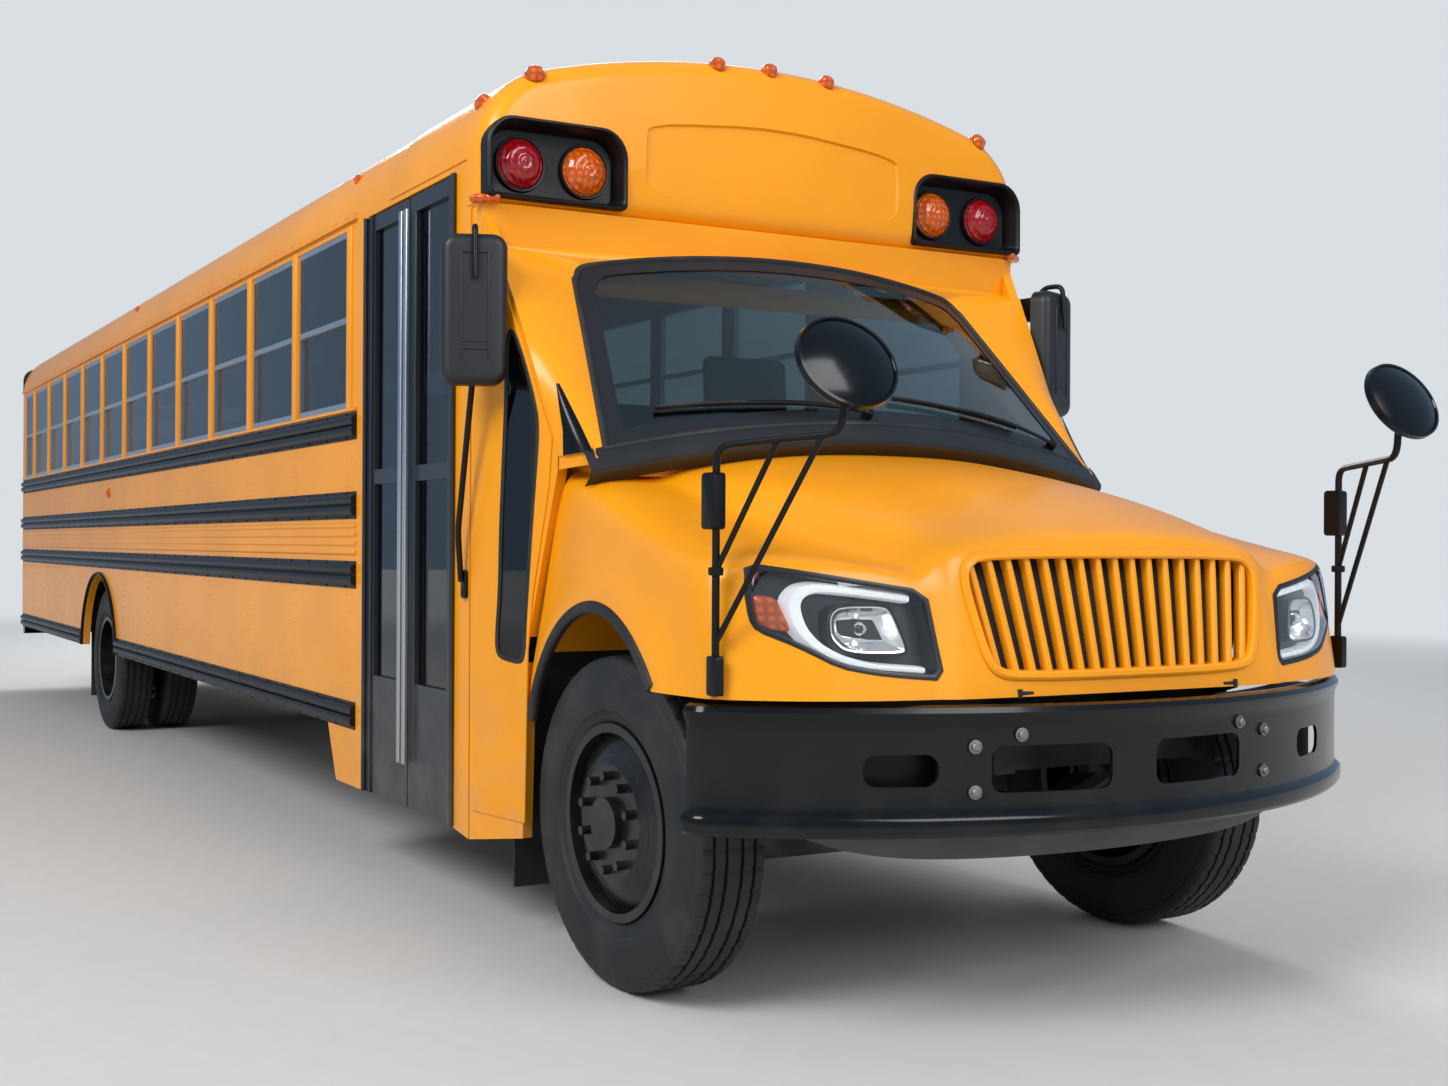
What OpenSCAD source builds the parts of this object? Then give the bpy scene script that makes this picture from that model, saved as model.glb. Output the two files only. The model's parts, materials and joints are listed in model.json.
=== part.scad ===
// Conventional school bus, 96 in wide, with a tilting hood, an outward-opening
// entry door and a rear emergency door. Millimetres. +X is forward, +Y is the
// driver's side, +Z is up. The origin is on the ground, midway along the bus.

/* [Overall] */
// Width of the body over its side panels
body_w = 2438; // [2000:1:3000]
// Distance between the front and the rear axle
wheelbase = 7440; // [6000:10:9000]
// From the front axle to the front face of the bumper
front_overhang = 1110; // [1050:10:1400]
// From the rear axle to the back face of the rear bumper
rear_overhang = 3650; // [2400:10:4500]
// Height of the roof's crown above the ground
roof_z = 3180; // [3000:10:3850]

/* [Body shell] */
// Thickness of the side walls, the roof and the rear wall
wall_t = 50; // [30:1:70]
// Height of the skirt's lower edge
skirt_z = 575; // [480:5:690]
// Height of the floor's upper face
floor_z = 1090; // [1080:5:1300]
// Thickness of the floor deck
floor_t = 30; // [20:1:36]
// Radius where the side turns into the roof
eave_r = 330; // [250:5:400]
// Radius of the roof's crown across the bus
crown_r = 3600; // [3000:50:4500]
// Angle up the eave curve where the white roof panel starts
roof_edge_deg = 50; // [30:1:70]
// Depth of the front cap ahead of the roof panel
cap_length = 920; // [780:10:1100]
// Radius around the front cap's leading edge
cap_edge_r = 70; // [50:5:110]

/* [Side windows] */
// Distance from one window post to the next
window_pitch = 750; // [640:5:900]
// Width of the post between two windows
post_w = 66; // [50:1:90]
// Height of the window sill
sill_z = 1931; // [1800:1:2000]
// Height of the window head
head_z = 2687; // [2500:1:2700]
// Face width of an aluminium window frame
sash_w = 26; // [18:1:32]
// Thickness of the side glass
glass_t = 6; // [4:1:8]

/* [Doors] */
// Width of the entry doorway
entry_w = 890; // [760:5:950]
// Height of the entry door's lower edge
entry_z = 336; // [300:1:400]
// Thickness of every door leaf
leaf_t = 40; // [30:1:46]
// Running gap around every door leaf
door_gap = 8; // [6:1:14]
// Width of the rear emergency doorway
rear_door_w = 920; // [760:5:1000]
// Height of the rear emergency doorway's head
rear_door_head_z = 2660; // [2400:5:2720]
// Number of rises from the ground step up to the floor
riser_n = 3; // [3:1:4]

/* [Running gear] */
// Outer diameter of a tyre
tyre_d = 1018; // [850:2:1060]
// Section width of a tyre
tyre_w = 254; // [210:1:270]
// Diameter of the rim's bead seat
rim_d = 572; // [480:1:600]
// Distance between the two front tyres' centre planes
front_track = 2040; // [1960:2:2080]
// Distance between the two rear outer tyres' centre planes
rear_track = 2090; // [2060:2:2120]
// Distance between the two tyres of a twin
twin_spacing = 318; // [290:1:330]
// Distance between the kingpins
kingpin_span = 1720; // [1640:2:1740]
// Radius of the wheel's hub barrel
hub_r = 108; // [90:1:125]
// Radius of the axle spindle inside each hub
spindle_r = 38; // [30:1:45]
// Running clearance between a hub and its spindle
hub_clear = 0.06; // [0.02:0.01:0.1]

/* [Chassis] */
// Width over the two frame rails
frame_w = 864; // [800:2:870]
// Height of a frame rail
rail_h = 250; // [200:2:270]
// Flange width of a frame rail
rail_flange = 76; // [60:1:90]
// Plate thickness of a frame rail
rail_t = 9; // [7:1:12]
// Radius of the tow hole at each end of a rail
tow_hole_r = 22; // [15:1:28]

/* [Front end] */
// Radius of the front wheel arch
arch_r = 560; // [540:5:600]
// Height of the bumper's upper edge
bumper_z = 940; // [900:5:950]
// Height of the bumper's face
bumper_h = 350; // [280:5:380]
// Radius of the bumper's bow in plan
bumper_bow_r = 2150; // [1900:10:2600]
// Wall of the moulded hood and fenders
hood_t = 30; // [20:1:40]
// Number of slats in the grille
slat_n = 17; // [13:1:21]
// Tilt of the windshield from the vertical, in degrees
windshield_rake = 42; // [36:1:46]

/* [Seats] */
// Distance from one bench to the next
bench_pitch = 700; // [620:5:800]
// Width of a passenger bench
bench_w = 960; // [760:5:980]
// Thickness of a bench's back rest
bench_back_t = 90; // [70:1:120]

/* [Hidden] */
$fn = 64;

// Colours
school_yellow = "#F2A100";
roof_white = "#EDEEEE";
trim_black = "#1B1B1D";
dark_grey = "#3B3F43";
alloy = "#B9BDC1";
steel_grey = "#5A5E62";
glass_tint = "#39444A";
seat_brown = "#5C4A3D";
lamp_red = "#A3121B";
lamp_amber = "#E2700C";

// Stations along the bus
overall_l = front_overhang + wheelbase + rear_overhang;
nose_x = overall_l / 2;
tail_x = -overall_l / 2;
axle_x = nose_x - front_overhang;
rear_axle_x = axle_x - wheelbase;
rear_bumper_d = 80;
rear_x = tail_x + rear_bumper_d;          // outer face of the rear wall
body_front_x = axle_x - 880;              // front corner of the body
entry_front_x = body_front_x - 140;       // front jamb of the entry doorway
entry_rear_x = entry_front_x - entry_w;   // rear jamb of the entry doorway
window_front_x = entry_rear_x - 220;      // centre of the first window post
cap_front_x = body_front_x + 130;
cap_rear_x = cap_front_x - cap_length;
step_panel_x = entry_rear_x - 480;        // rear edge of the deep panel by the steps
half_w = body_w / 2;
inner_w = half_w - wall_t;
axle_z = tyre_d / 2;
rail_top_z = floor_z - floor_t - 80;      // the floor's sills stand on the rails
rail_low_z = rail_top_z - rail_h;
kingpin_y = kingpin_span / 2;
seat_gap = 0.3;                           // gap between curved faces that seat on each other
skin = 3;                                 // what trim stands off the surface behind it

// Roof curve: a large crown arc that runs into a small eave arc on each side
eave_y = half_w - eave_r;
eave_z = roof_z - crown_r + sqrt(pow(crown_r - eave_r, 2) - pow(eave_y, 2));
eave_end_deg = 90 - asin(eave_y / (crown_r - eave_r));
eave_steps = 6;
crown_steps = 8;

// Points of the eave arc between two angles, on the driver's side, set in by t
function eave_point(a, t) = [eave_y + (eave_r - t) * cos(a), eave_z + (eave_r - t) * sin(a)];
function eave_arc(t, from, to) = [for (i = [0 : eave_steps]) eave_point(from + (to - from) * i / eave_steps, t)];
// Points of the crown arc between its two ends, set in by t
function crown_point(a, t) = [(crown_r - t) * cos(a), roof_z - crown_r + (crown_r - t) * sin(a)];
function crown_deg(i) = eave_end_deg + (180 - 2 * eave_end_deg) * i / crown_steps;
function crown_arc(t) = [for (i = [1 : crown_steps - 1]) crown_point(crown_deg(i), t)];
function flip(points) = [for (i = [len(points) - 1 : -1 : 0]) [-points[i][0], points[i][1]]];
function reversed(points) = [for (i = [len(points) - 1 : -1 : 0]) points[i]];
// The roof's outline from one side to the other, set in by t
function roof_line(t, from) = concat(eave_arc(t, from, eave_end_deg), crown_arc(t),
                                     flip(eave_arc(t, from, eave_end_deg)));

// --- helpers ---

module block(low, high) translate(low) cube(high - low);

// A YZ outline carried from x0 to x1
module along_x(x0, x1) translate([x0, 0, 0]) rotate([90, 0, 90]) linear_extrude(x1 - x0) children();

// An XZ outline carried from y0 to y1
module along_y(y0, y1) translate([0, y1, 0]) rotate([90, 0, 0]) linear_extrude(y1 - y0) children();

module both_sides() {
  children();
  mirror([0, 1, 0]) children();
}

// A cylinder along Y, outwards on the driver's side
module drum(r, y0, y1) translate([0, y0, 0]) rotate([-90, 0, 0]) cylinder(r = r, h = y1 - y0);

// A rectangle with round corners, centred
module round_rect(w, h, r) {
  square([w - 2 * r, h], center = true);
  square([w, h - 2 * r], center = true);
  for (x = [-1, 1], y = [-1, 1]) translate([x * (w / 2 - r), y * (h / 2 - r)]) circle(r);
}

// A straight round bar from a to b
module rod(a, b, r) {
  v = b - a;
  translate(a) rotate([0, acos(v[2] / norm(v)), atan2(v[1], v[0])]) cylinder(r = r, h = norm(v), $fn = 24);
}

// A tube that runs through a list of points, with a slightly larger ball at each corner
module tube_run(points, r) {
  for (i = [0 : len(points) - 2]) rod(points[i], points[i + 1], r);
  for (i = [1 : len(points) - 2]) translate(points[i]) sphere(r + 1.5, $fn = 24);
}

// --- chassis ---

member_h = 110;          // depth of a frame cross member
member_t = 60;           // length of a cross member along the bus
frame_front_x = nose_x - 215;
frame_rear_x = rear_x + wall_t;
member_n = 9;
hood_pivot_x = nose_x - 142;
hood_pivot_z = bumper_z + 20;
pivot_y = frame_w / 2 - rail_flange / 2;
pivot_pin_r = 11;

module frame_rail() difference() {
  along_x(frame_rear_x, frame_front_x) translate([frame_w / 2 - rail_flange, rail_low_z]) difference() {
    square([rail_flange, rail_h]);
    translate([-1, rail_t]) square([rail_flange - rail_t + 1, rail_h - 2 * rail_t]);
  }
  // tow holes up through the lower flange
  for (x = [frame_front_x - 70, frame_rear_x + 70]) translate([x, frame_w / 2 - rail_flange / 2 - rail_t / 2, rail_low_z])
    cylinder(r = tow_hole_r, h = 4 * rail_t, center = true);
}

// Bracket on a rail's front end that carries the hood's pivot pin
module hood_bracket() {
  along_y(pivot_y + 18, pivot_y + 30) polygon([
    [frame_front_x - 110, rail_top_z], [frame_front_x - 110, rail_top_z - 60],
    [frame_front_x - 1, rail_top_z - 60], [hood_pivot_x + 14, hood_pivot_z - 12],
    [hood_pivot_x + 14, hood_pivot_z + 13], [hood_pivot_x - 14, hood_pivot_z + 13]]);
  translate([hood_pivot_x, pivot_y - 26, hood_pivot_z]) rotate([-90, 0, 0])
    cylinder(r = pivot_pin_r, h = 50);
}

module chassis_frame() color(trim_black) {
  both_sides() {
    frame_rail();
    hood_bracket();
  }
  for (i = [0 : member_n - 1]) {
    x = frame_rear_x + 60 + i * (axle_x - 1620 - frame_rear_x) / (member_n - 1);
    block([x, -frame_w / 2 + rail_t, rail_top_z - member_h - rail_t],
          [x + member_t, frame_w / 2 - rail_t, rail_top_z - rail_t]);
  }
  block([frame_front_x - member_t, -frame_w / 2 + rail_t, rail_low_z + rail_t],
        [frame_front_x, frame_w / 2 - rail_t, rail_low_z + rail_h / 2]);
}

// Front axle: a dropped beam whose ends carry the kingpin bosses
boss_r = 48;
boss_h = 120;
beam_w = 90;
beam_low_z = axle_z - 150;
beam_h = 90;
front_spring_y = frame_w / 2 - rail_flange / 2;
spring_w = 76;
spring_t = 44;

module front_axle() color(trim_black) {
  block([axle_x - beam_w / 2, -kingpin_y + 220, beam_low_z], [axle_x + beam_w / 2, kingpin_y - 220, beam_low_z + beam_h]);
  both_sides() {
    translate([axle_x - beam_w / 2, 0, 0]) rotate([90, 0, 90]) linear_extrude(beam_w) polygon([
      [kingpin_y - 225, beam_low_z], [kingpin_y - 225, beam_low_z + beam_h],
      [kingpin_y - 20, axle_z + 45], [kingpin_y - 20, axle_z - 45]]);
    translate([axle_x, kingpin_y, axle_z - boss_h / 2]) cylinder(r = boss_r, h = boss_h);
  }
}

// Steering knuckle: a fork round the kingpin boss, with the wheel's spindle
ear_h = 34;
ear_gap = 0.3;
spindle_end = 285;      // from the kingpin to the spindle's outer end

module knuckle() translate([axle_x, kingpin_y, axle_z]) {
  for (s = [-1, 1]) translate([0, 0, s * (boss_h / 2 + ear_gap + ear_h / 2)]) {
    cylinder(r = boss_r, h = ear_h, center = true);
    translate([-boss_r, 0, -ear_h / 2]) cube([2 * boss_r, 62, ear_h]);
  }
  block([-boss_r, 56, -boss_h / 2 - ear_gap - ear_h], [boss_r, 84, boss_h / 2 + ear_gap + ear_h]);
  drum(62, 80, 100);
  drum(spindle_r, 90, spindle_end);
  block([-230, 20, -boss_h / 2 - ear_gap - ear_h], [-boss_r + 10, 62, -boss_h / 2 - ear_gap]);
}

module knuckle_left() color(steel_grey) knuckle();
module knuckle_right() color(steel_grey) mirror([0, 1, 0]) knuckle();

module rear_axle() color(trim_black) translate([rear_axle_x, 0, axle_z]) {
  sphere(190);
  translate([120, 0, 0]) rotate([0, 90, 0]) cylinder(r1 = 130, r2 = 70, h = 160);
  both_sides() {
    drum(68, 0, rear_track / 2 - twin_spacing - 120);
    drum(spindle_r, 0, rear_track / 2 - 60);
  }
}

// Leaf springs: a bowed stack, its ends held in hangers under the rail
rear_spring_y = frame_w / 2 + spring_w / 2 + 2;
module spring_bow(half_l, mid_z, end_z) {
  steps = 10;
  low = [for (i = [0 : steps]) let (u = 2 * i / steps - 1) [u * half_l, mid_z + (end_z - mid_z) * u * u]];
  high = [for (p = low) [p[0], p[1] + spring_t * (1.25 - 0.75 * abs(p[0]) / half_l)]];
  along_y(-spring_w / 2, spring_w / 2) polygon(concat(low, reversed(high)));
}
module spring(half_l, mid_z, end_z) {
  spring_bow(half_l, mid_z, end_z);
  for (x = [-1, 1]) block([x * half_l - 25, -spring_w / 2, end_z - 12],
                          [x * half_l + 25, spring_w / 2, rail_low_z]);
}
module leaf_springs() color(steel_grey) both_sides() {
  translate([axle_x, front_spring_y, 0]) spring(620, beam_low_z + beam_h, rail_low_z - 60);
  translate([rear_axle_x, rear_spring_y, 0]) {
    spring_bow(680, axle_z + 68, rail_low_z - 40);
    for (x = [-1, 1]) block([x * 680 - 25, -spring_w / 2 - 1.9, rail_low_z - 52], [x * 680 + 25, spring_w / 2, rail_low_z + 90]);
  }
}

engine_x = axle_x - 575;
engine_l = 980;
gearbox_l = 960;
gearbox_z = rail_low_z + 20;
module engine_block() color(steel_grey) {
  block([engine_x, -300, rail_low_z - 60], [engine_x + engine_l, 300, rail_top_z + 400]);
  translate([engine_x, 0, gearbox_z]) rotate([0, -90, 0]) cylinder(r1 = 225, r2 = 90, h = gearbox_l);
  // mounts that stand on the rails' flanges
  for (x = [60, 640]) both_sides() block([engine_x + x, 299, rail_low_z + 60], [engine_x + x + 90, frame_w / 2 - rail_flange - seat_gap, rail_low_z + 150]);
}

module radiator() color(trim_black)
  block([axle_x + 560, -frame_w / 2 + rail_flange, rail_low_z + 60], [axle_x + 650, frame_w / 2 - rail_flange, rail_top_z + 330]);

module drive_shaft() color(steel_grey)
  rod([rear_axle_x + 282.4, 0, axle_z], [engine_x - gearbox_l - 2.4, 0, gearbox_z], 45);

tank_x = axle_x - 4250;
tank_l = 1300;
module fuel_tank() color(trim_black) {
  translate([tank_x, 0, 0]) along_x(0, tank_l) translate([frame_w / 2 + 330, rail_low_z + 40])
    round_rect(600, 400, 60);
  for (x = [220, tank_l - 260]) block([tank_x + x, frame_w / 2 + 0.5, rail_low_z + 20],
                                      [tank_x + x + 40, frame_w / 2 + 31, rail_low_z + 230]);
}

muffler_x = axle_x - 5000;
module exhaust() color(steel_grey) {
  pipe_y = -frame_w / 2 - 290;
  pipe_z = rail_low_z + 70;
  under_z = rail_low_z - 66;
  translate([muffler_x, pipe_y, pipe_z]) rotate([0, 90, 0]) cylinder(r = 125, h = 950);
  tube_run([[axle_x - 760, -290, pipe_z], [axle_x - 2400, -290, pipe_z], [axle_x - 2600, -290, under_z],
            [axle_x - 2900, pipe_y, under_z], [axle_x - 3200, pipe_y, pipe_z], [muffler_x + 940, pipe_y, pipe_z]], 42);
  tube_run([[muffler_x + 10, pipe_y, pipe_z], [muffler_x - 200, pipe_y, under_z],
            [muffler_x - 500, -250, under_z], [rear_axle_x + 700, -270, rail_low_z + 70],
            [rear_axle_x - 700, -270, rail_low_z + 70], [rear_x + 900, -250, under_z],
            [rear_x + 450, -700, under_z], [rear_x + wall_t + 30, -700, under_z]], 42);
  for (x = [200, 750]) block([muffler_x + x, -frame_w / 2 - 200, rail_low_z + 60],
                             [muffler_x + x + 40, -frame_w / 2 - 0.5, rail_low_z + 110]);
}

// --- wheels ---

rim_w = 210;
rim_t = 12;
flange_h = 16;
disc_t = 14;
stud_n = 10;
stud_pcd_r = 143;
hand_hole_n = 5;
drum_r = 208;

// Tyre section: tread, round shoulders, bulging walls and beads on the rim
module tyre_section() {
  bead_r = rim_d / 2 + seat_gap;
  tread_w = tyre_w * 0.84;
  h = tyre_d / 2 - bead_r;
  polygon([
    [bead_r, -rim_w / 2 + 1], [bead_r + 18, -rim_w / 2 + 1],
    [bead_r + 0.30 * h, -tyre_w / 2 + 4], [bead_r + 0.48 * h, -tyre_w / 2], [bead_r + 0.66 * h, -tyre_w / 2 + 3],
    [bead_r + 0.86 * h, -tread_w / 2 - 8], [bead_r + 0.96 * h, -tread_w / 2],
    [tyre_d / 2 - 3, -tread_w / 2 + 16], [tyre_d / 2, -tread_w / 4], [tyre_d / 2, tread_w / 4],
    [tyre_d / 2 - 3, tread_w / 2 - 16],
    [bead_r + 0.96 * h, tread_w / 2], [bead_r + 0.86 * h, tread_w / 2 + 8],
    [bead_r + 0.66 * h, tyre_w / 2 - 3], [bead_r + 0.48 * h, tyre_w / 2], [bead_r + 0.30 * h, tyre_w / 2 - 4],
    [bead_r + 18, rim_w / 2 - 1], [bead_r, rim_w / 2 - 1]]);
}
module tyre(y) translate([0, y, 0]) rotate([-90, 0, 0]) rotate_extrude($fn = 96) tyre_section();

// Rim barrel with a flange at each end, centred on y
module rim(y) translate([0, y, 0]) rotate([-90, 0, 0]) rotate_extrude($fn = 96) polygon([
  [rim_d / 2 - rim_t, -rim_w / 2 - 8], [rim_d / 2 + flange_h, -rim_w / 2 - 8], [rim_d / 2 + flange_h, -rim_w / 2],
  [rim_d / 2, -rim_w / 2], [rim_d / 2, rim_w / 2], [rim_d / 2 + flange_h, rim_w / 2],
  [rim_d / 2 + flange_h, rim_w / 2 + 8], [rim_d / 2 - rim_t, rim_w / 2 + 8]]);

// Wheel disc: a flat bolting face at face_y and a dish back to the rim at rim_y
module wheel_disc(face_y, rim_y) {
  s = face_y > rim_y ? 1 : -1;
  difference() {
    rotate([-90, 0, 0]) rotate_extrude($fn = 96) polygon([
      [spindle_r + 30, face_y - disc_t * s], [spindle_r + 30, face_y], [stud_pcd_r + 34, face_y],
      [rim_d / 2 - rim_t + 1, rim_y], [rim_d / 2 - rim_t + 1, rim_y - 1.6 * disc_t * s],
      [stud_pcd_r + 26, face_y - disc_t * s]]);
    for (i = [0 : hand_hole_n - 1]) rotate([0, (i + 0.5) * 360 / hand_hole_n, 0])
      translate([0, 0, (rim_d / 2 + stud_pcd_r) / 2 + 8]) rotate([90, 0, 0])
        cylinder(r = 33, h = 600, center = true, $fn = 32);
  }
}

module studs(y0, y1) for (i = [0 : stud_n - 1]) rotate([0, i * 360 / stud_n, 0])
  translate([0, y0, stud_pcd_r]) rotate([-90, 0, 0]) cylinder(r = 14, h = y1 - y0, $fn = 24);

module brake_drum(y0, y1) difference() {
  drum(drum_r, y0, y1);
  drum(drum_r - 18, y0 - 1, y1 - 14);
  drum(spindle_r + 29, y1 - 20, y1 + 1);
}

front_tyre_y = front_track / 2;
front_face_y = front_tyre_y + 118;
hub_bore_r = spindle_r + hub_clear;
module front_wheel() translate([axle_x, 0, axle_z]) {
  rim(front_tyre_y);
  wheel_disc(front_face_y, front_tyre_y + 74);
  studs(front_face_y - 5, front_face_y + 30);
  difference() {
    drum(hub_r - 30, kingpin_y + 120, front_face_y + 26);
    drum(hub_bore_r, kingpin_y + 110, kingpin_y + spindle_end + 6);
  }
  brake_drum(kingpin_y + 100, front_face_y - disc_t + 1);
}
module front_wheel_left() color(trim_black) front_wheel();
module front_wheel_right() color(trim_black) mirror([0, 1, 0]) front_wheel();
module front_tyre_left() color("#222222") translate([axle_x, 0, axle_z]) tyre(front_tyre_y);
module front_tyre_right() color("#222222") mirror([0, 1, 0]) translate([axle_x, 0, axle_z]) tyre(front_tyre_y);

rear_outer_y = rear_track / 2;
rear_inner_y = rear_outer_y - twin_spacing;
rear_face_y = (rear_outer_y + rear_inner_y) / 2 + disc_t;
rear_hub_end = rear_outer_y - 40;
module rear_wheels() translate([rear_axle_x, 0, axle_z]) {
  rim(rear_outer_y);
  rim(rear_inner_y);
  wheel_disc(rear_face_y, rear_outer_y - 70);
  wheel_disc(rear_face_y - disc_t, rear_inner_y + 70);
  studs(rear_face_y - 2 * disc_t, rear_face_y + 34);
  difference() {
    drum(hub_r - 20, rear_inner_y - 60, rear_hub_end);
    drum(hub_bore_r, rear_inner_y - 70, rear_outer_y - 54);
  }
  brake_drum(rear_inner_y - 60, rear_face_y - 2 * disc_t + 1);
}
module rear_tyres() translate([rear_axle_x, 0, axle_z]) {
  tyre(rear_outer_y);
  tyre(rear_inner_y);
}
module rear_wheels_left() color(trim_black) rear_wheels();
module rear_wheels_right() color(trim_black) mirror([0, 1, 0]) rear_wheels();
module rear_tyres_left() color("#222222") rear_tyres();
module rear_tyres_right() color("#222222") mirror([0, 1, 0]) rear_tyres();

// --- floor and steps ---

well_in_y = 470;                        // inner side of the step well
plate_t = 22;                            // thickness of the well's plates
well_front_x = entry_front_x + plate_t;
well_rear_x = entry_rear_x - plate_t;
tyre_room = tyre_d / 2 + 70;
toe_half_w = 1080;                       // floor between the cowl's sides

module floor() color(dark_grey) difference() {
  union() {
    block([rear_x + wall_t, -inner_w, floor_z - floor_t], [body_front_x, inner_w, floor_z]);
    block([body_front_x - 1, -toe_half_w, floor_z - floor_t], [cowl_front_x - 70, toe_half_w, floor_z]);
    for (x = [rear_x + 150 : window_pitch : body_front_x - 200]) {
      near_wheel = abs(x + 30 - rear_axle_x) < tyre_room;
      reach = near_wheel ? rear_inner_y - tyre_w / 2 - 40 : inner_w;
      block([x, -reach, rail_top_z], [x + 60, reach, floor_z - floor_t + 1]);
    }
  }
  block([well_rear_x, -half_w, rail_top_z - 10], [well_front_x, -well_in_y, floor_z + 1]);
}

// Three steps between two side plates, open towards the doorway
module step_well() color(trim_black) {
  rise = (floor_z - entry_z) / riser_n;
  tread = (inner_w - well_in_y) / riser_n;
  for (i = [0 : riser_n - 1]) {
    z = entry_z + i * rise;
    y1 = -inner_w + (i + 1) * tread;
    block([entry_rear_x - plate_t + 4, y1 - tread - (i > 0 ? plate_t : 0), z], [entry_front_x + plate_t - 4, y1, z + plate_t]);
    block([entry_rear_x - plate_t + 4, y1 - plate_t, z], [entry_front_x + plate_t - 4, y1, z + rise - (i == riser_n - 1 ? 2 : 0)]);
  }
  for (x = [entry_rear_x - plate_t, entry_front_x]) block([x, -inner_w, entry_z], [x + plate_t, -well_in_y - plate_t + 1, floor_z - 2]);
}

// --- body shell ---

window_n = floor((window_front_x - rear_x - 430) / window_pitch) + 1;
// Front edge of window i, and its clear width; the last one ends at the corner post
function window_x(i) = window_front_x - i * window_pitch - post_w / 2;
function window_w(i) = min(window_pitch - post_w, window_x(i) - rear_x - wall_t - 90);
driver_window_w = entry_w - 60;
driver_window_z = 1640;
arch_trim = 36;
rear_arch_r = tyre_d / 2 + 96;
rear_arch_z = axle_z;

module window_holes() for (i = [0 : window_n - 1])
  translate([window_x(i) - window_w(i), sill_z]) square([window_w(i), head_z - sill_z]);

// Outline of a side panel seen from the side, with its windows and its wheel arch
module side_outline(low_front) difference() {
  union() {
    translate([rear_x + wall_t, skirt_z]) square([body_front_x - rear_x - wall_t, eave_z - skirt_z]);
    if (low_front) polygon([
      [step_panel_x, skirt_z + 1], [step_panel_x + 110, entry_z], [entry_front_x, entry_z], [body_front_x, entry_z - 20],
      [body_front_x, skirt_z + 1]]);
  }
  window_holes();
  translate([rear_axle_x, rear_arch_z]) circle(rear_arch_r, $fn = 96);
}

// The part of the eave curve that belongs to the side wall
module side_eave() along_x(rear_x + wall_t, cap_rear_x)
  polygon(concat(eave_arc(0, 0, roof_edge_deg), reversed(eave_arc(wall_t, 0, roof_edge_deg))));

module side_wall_left() color(school_yellow) {
  along_y(inner_w, half_w) difference() {
    side_outline(false);
    translate([entry_rear_x + 30, driver_window_z]) square([driver_window_w, head_z - 40 - driver_window_z]);
  }
  side_eave();
  // ears above and below the stop arm's pin
  for (z = [arm_z - 76, arm_z + 60]) block([arm_x - 16, half_w - 1, z], [arm_x + 16, arm_y + 16, z + 16]);
}

module side_wall_right() color(school_yellow) {
  along_y(-half_w, -inner_w) difference() {
    side_outline(true);
    translate([entry_rear_x, entry_z - 100]) square([entry_w, head_z + 113 - entry_z]);
  }
  mirror([0, 1, 0]) side_eave();
}

module roof() color(roof_white) along_x(rear_x + wall_t, cap_rear_x)
  polygon(concat(roof_line(0, roof_edge_deg), reversed(roof_line(wall_t, roof_edge_deg))));

// The whole end outline of the body above a height, set in by t
module end_outline(low_z, t) polygon(concat(
  [[half_w - t, low_z]], roof_line(t, 0), [[-half_w + t, low_z]]));

rear_window_y = 560;
module rear_wall() color(school_yellow) along_x(rear_x, rear_x + wall_t) difference() {
  end_outline(skirt_z, 0);
  translate([-rear_door_w / 2, floor_z]) square([rear_door_w, rear_door_head_z - floor_z]);
  for (s = [-1, 1]) translate([s * (rear_window_y + inner_w - 90) / 2, (sill_z + head_z) / 2])
    round_rect(inner_w - 90 - rear_window_y, head_z - sill_z - 60, 60);
}

// Front cap: the roof's shell carried forward, closed by a rounded brow over the windshield
cap_low_z = 2540;
cap_t = 40;
module cap_slice(x, t) along_x(x, x + 1) end_outline(cap_low_z, t);
// rounded front edge outside, two plain steps of hollow inside
module cap_body() hull() {
  cap_slice(cap_rear_x, 0);
  for (a = [0, 45, 90]) cap_slice(cap_front_x - cap_edge_r + cap_edge_r * sin(a) - 1, cap_edge_r * (1 - cos(a)));
}
module cap_hollow() {
  along_x(cap_rear_x - 10, cap_front_x - cap_edge_r - cap_t) end_outline(cap_low_z + cap_t, cap_t);
  along_x(cap_rear_x - 10, cap_front_x - cap_t) end_outline(cap_low_z + cap_t, cap_edge_r);
}
module front_cap() color(school_yellow) difference() {
  cap_body();
  cap_hollow();
  // open at the back, and open below except for the brow
  translate([cap_rear_x - 10, 0, 0]) along_x(0, 60) end_outline(cap_low_z - 10, cap_t);
  block([cap_rear_x - 10, -half_w - 10, cap_low_z - 10], [body_front_x, half_w + 10, eave_z + 0.3]);
}

// --- cowl ---

cowl_front_x = axle_x - 550;          // foot of the panel behind the front wheel
ws_x = axle_x - 240;                  // windshield's lower corners
ws_low_z = 1665;
ws_len = 870;                         // length of the glass up its slope
ws_low_y = 1030;
ws_high_y = 870;
ws_bow_r = 3400;
ws_bow = ws_bow_r - sqrt(pow(ws_bow_r, 2) - pow(ws_low_y, 2));
cowl_in_deg = 11;
cowl_t = 40;
firewall_half_w = 1030;
shelf_z = ws_low_z - 85;
quarter_w = 210;

// Side panel between the body's front corner and the fender, with the quarter window
module cowl_side_outline() difference() {
  polygon([
    [8, entry_z - 20], [cowl_front_x - body_front_x - 10, entry_z + 30], [cowl_front_x - body_front_x + 10, 1010],
    [hood_rear_x - body_front_x - 10, 1600], [hood_rear_x - body_front_x - 10, ws_low_z + 60],
    [80, 2510], [80, cap_low_z], [8, cap_low_z]]);
  translate([140, 960]) square([quarter_w, 820]);
  translate([140, 1700]) polygon([[0, 0], [quarter_w, 0], [quarter_w, 150], [60, 420], [0, 420]]);
}

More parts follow.
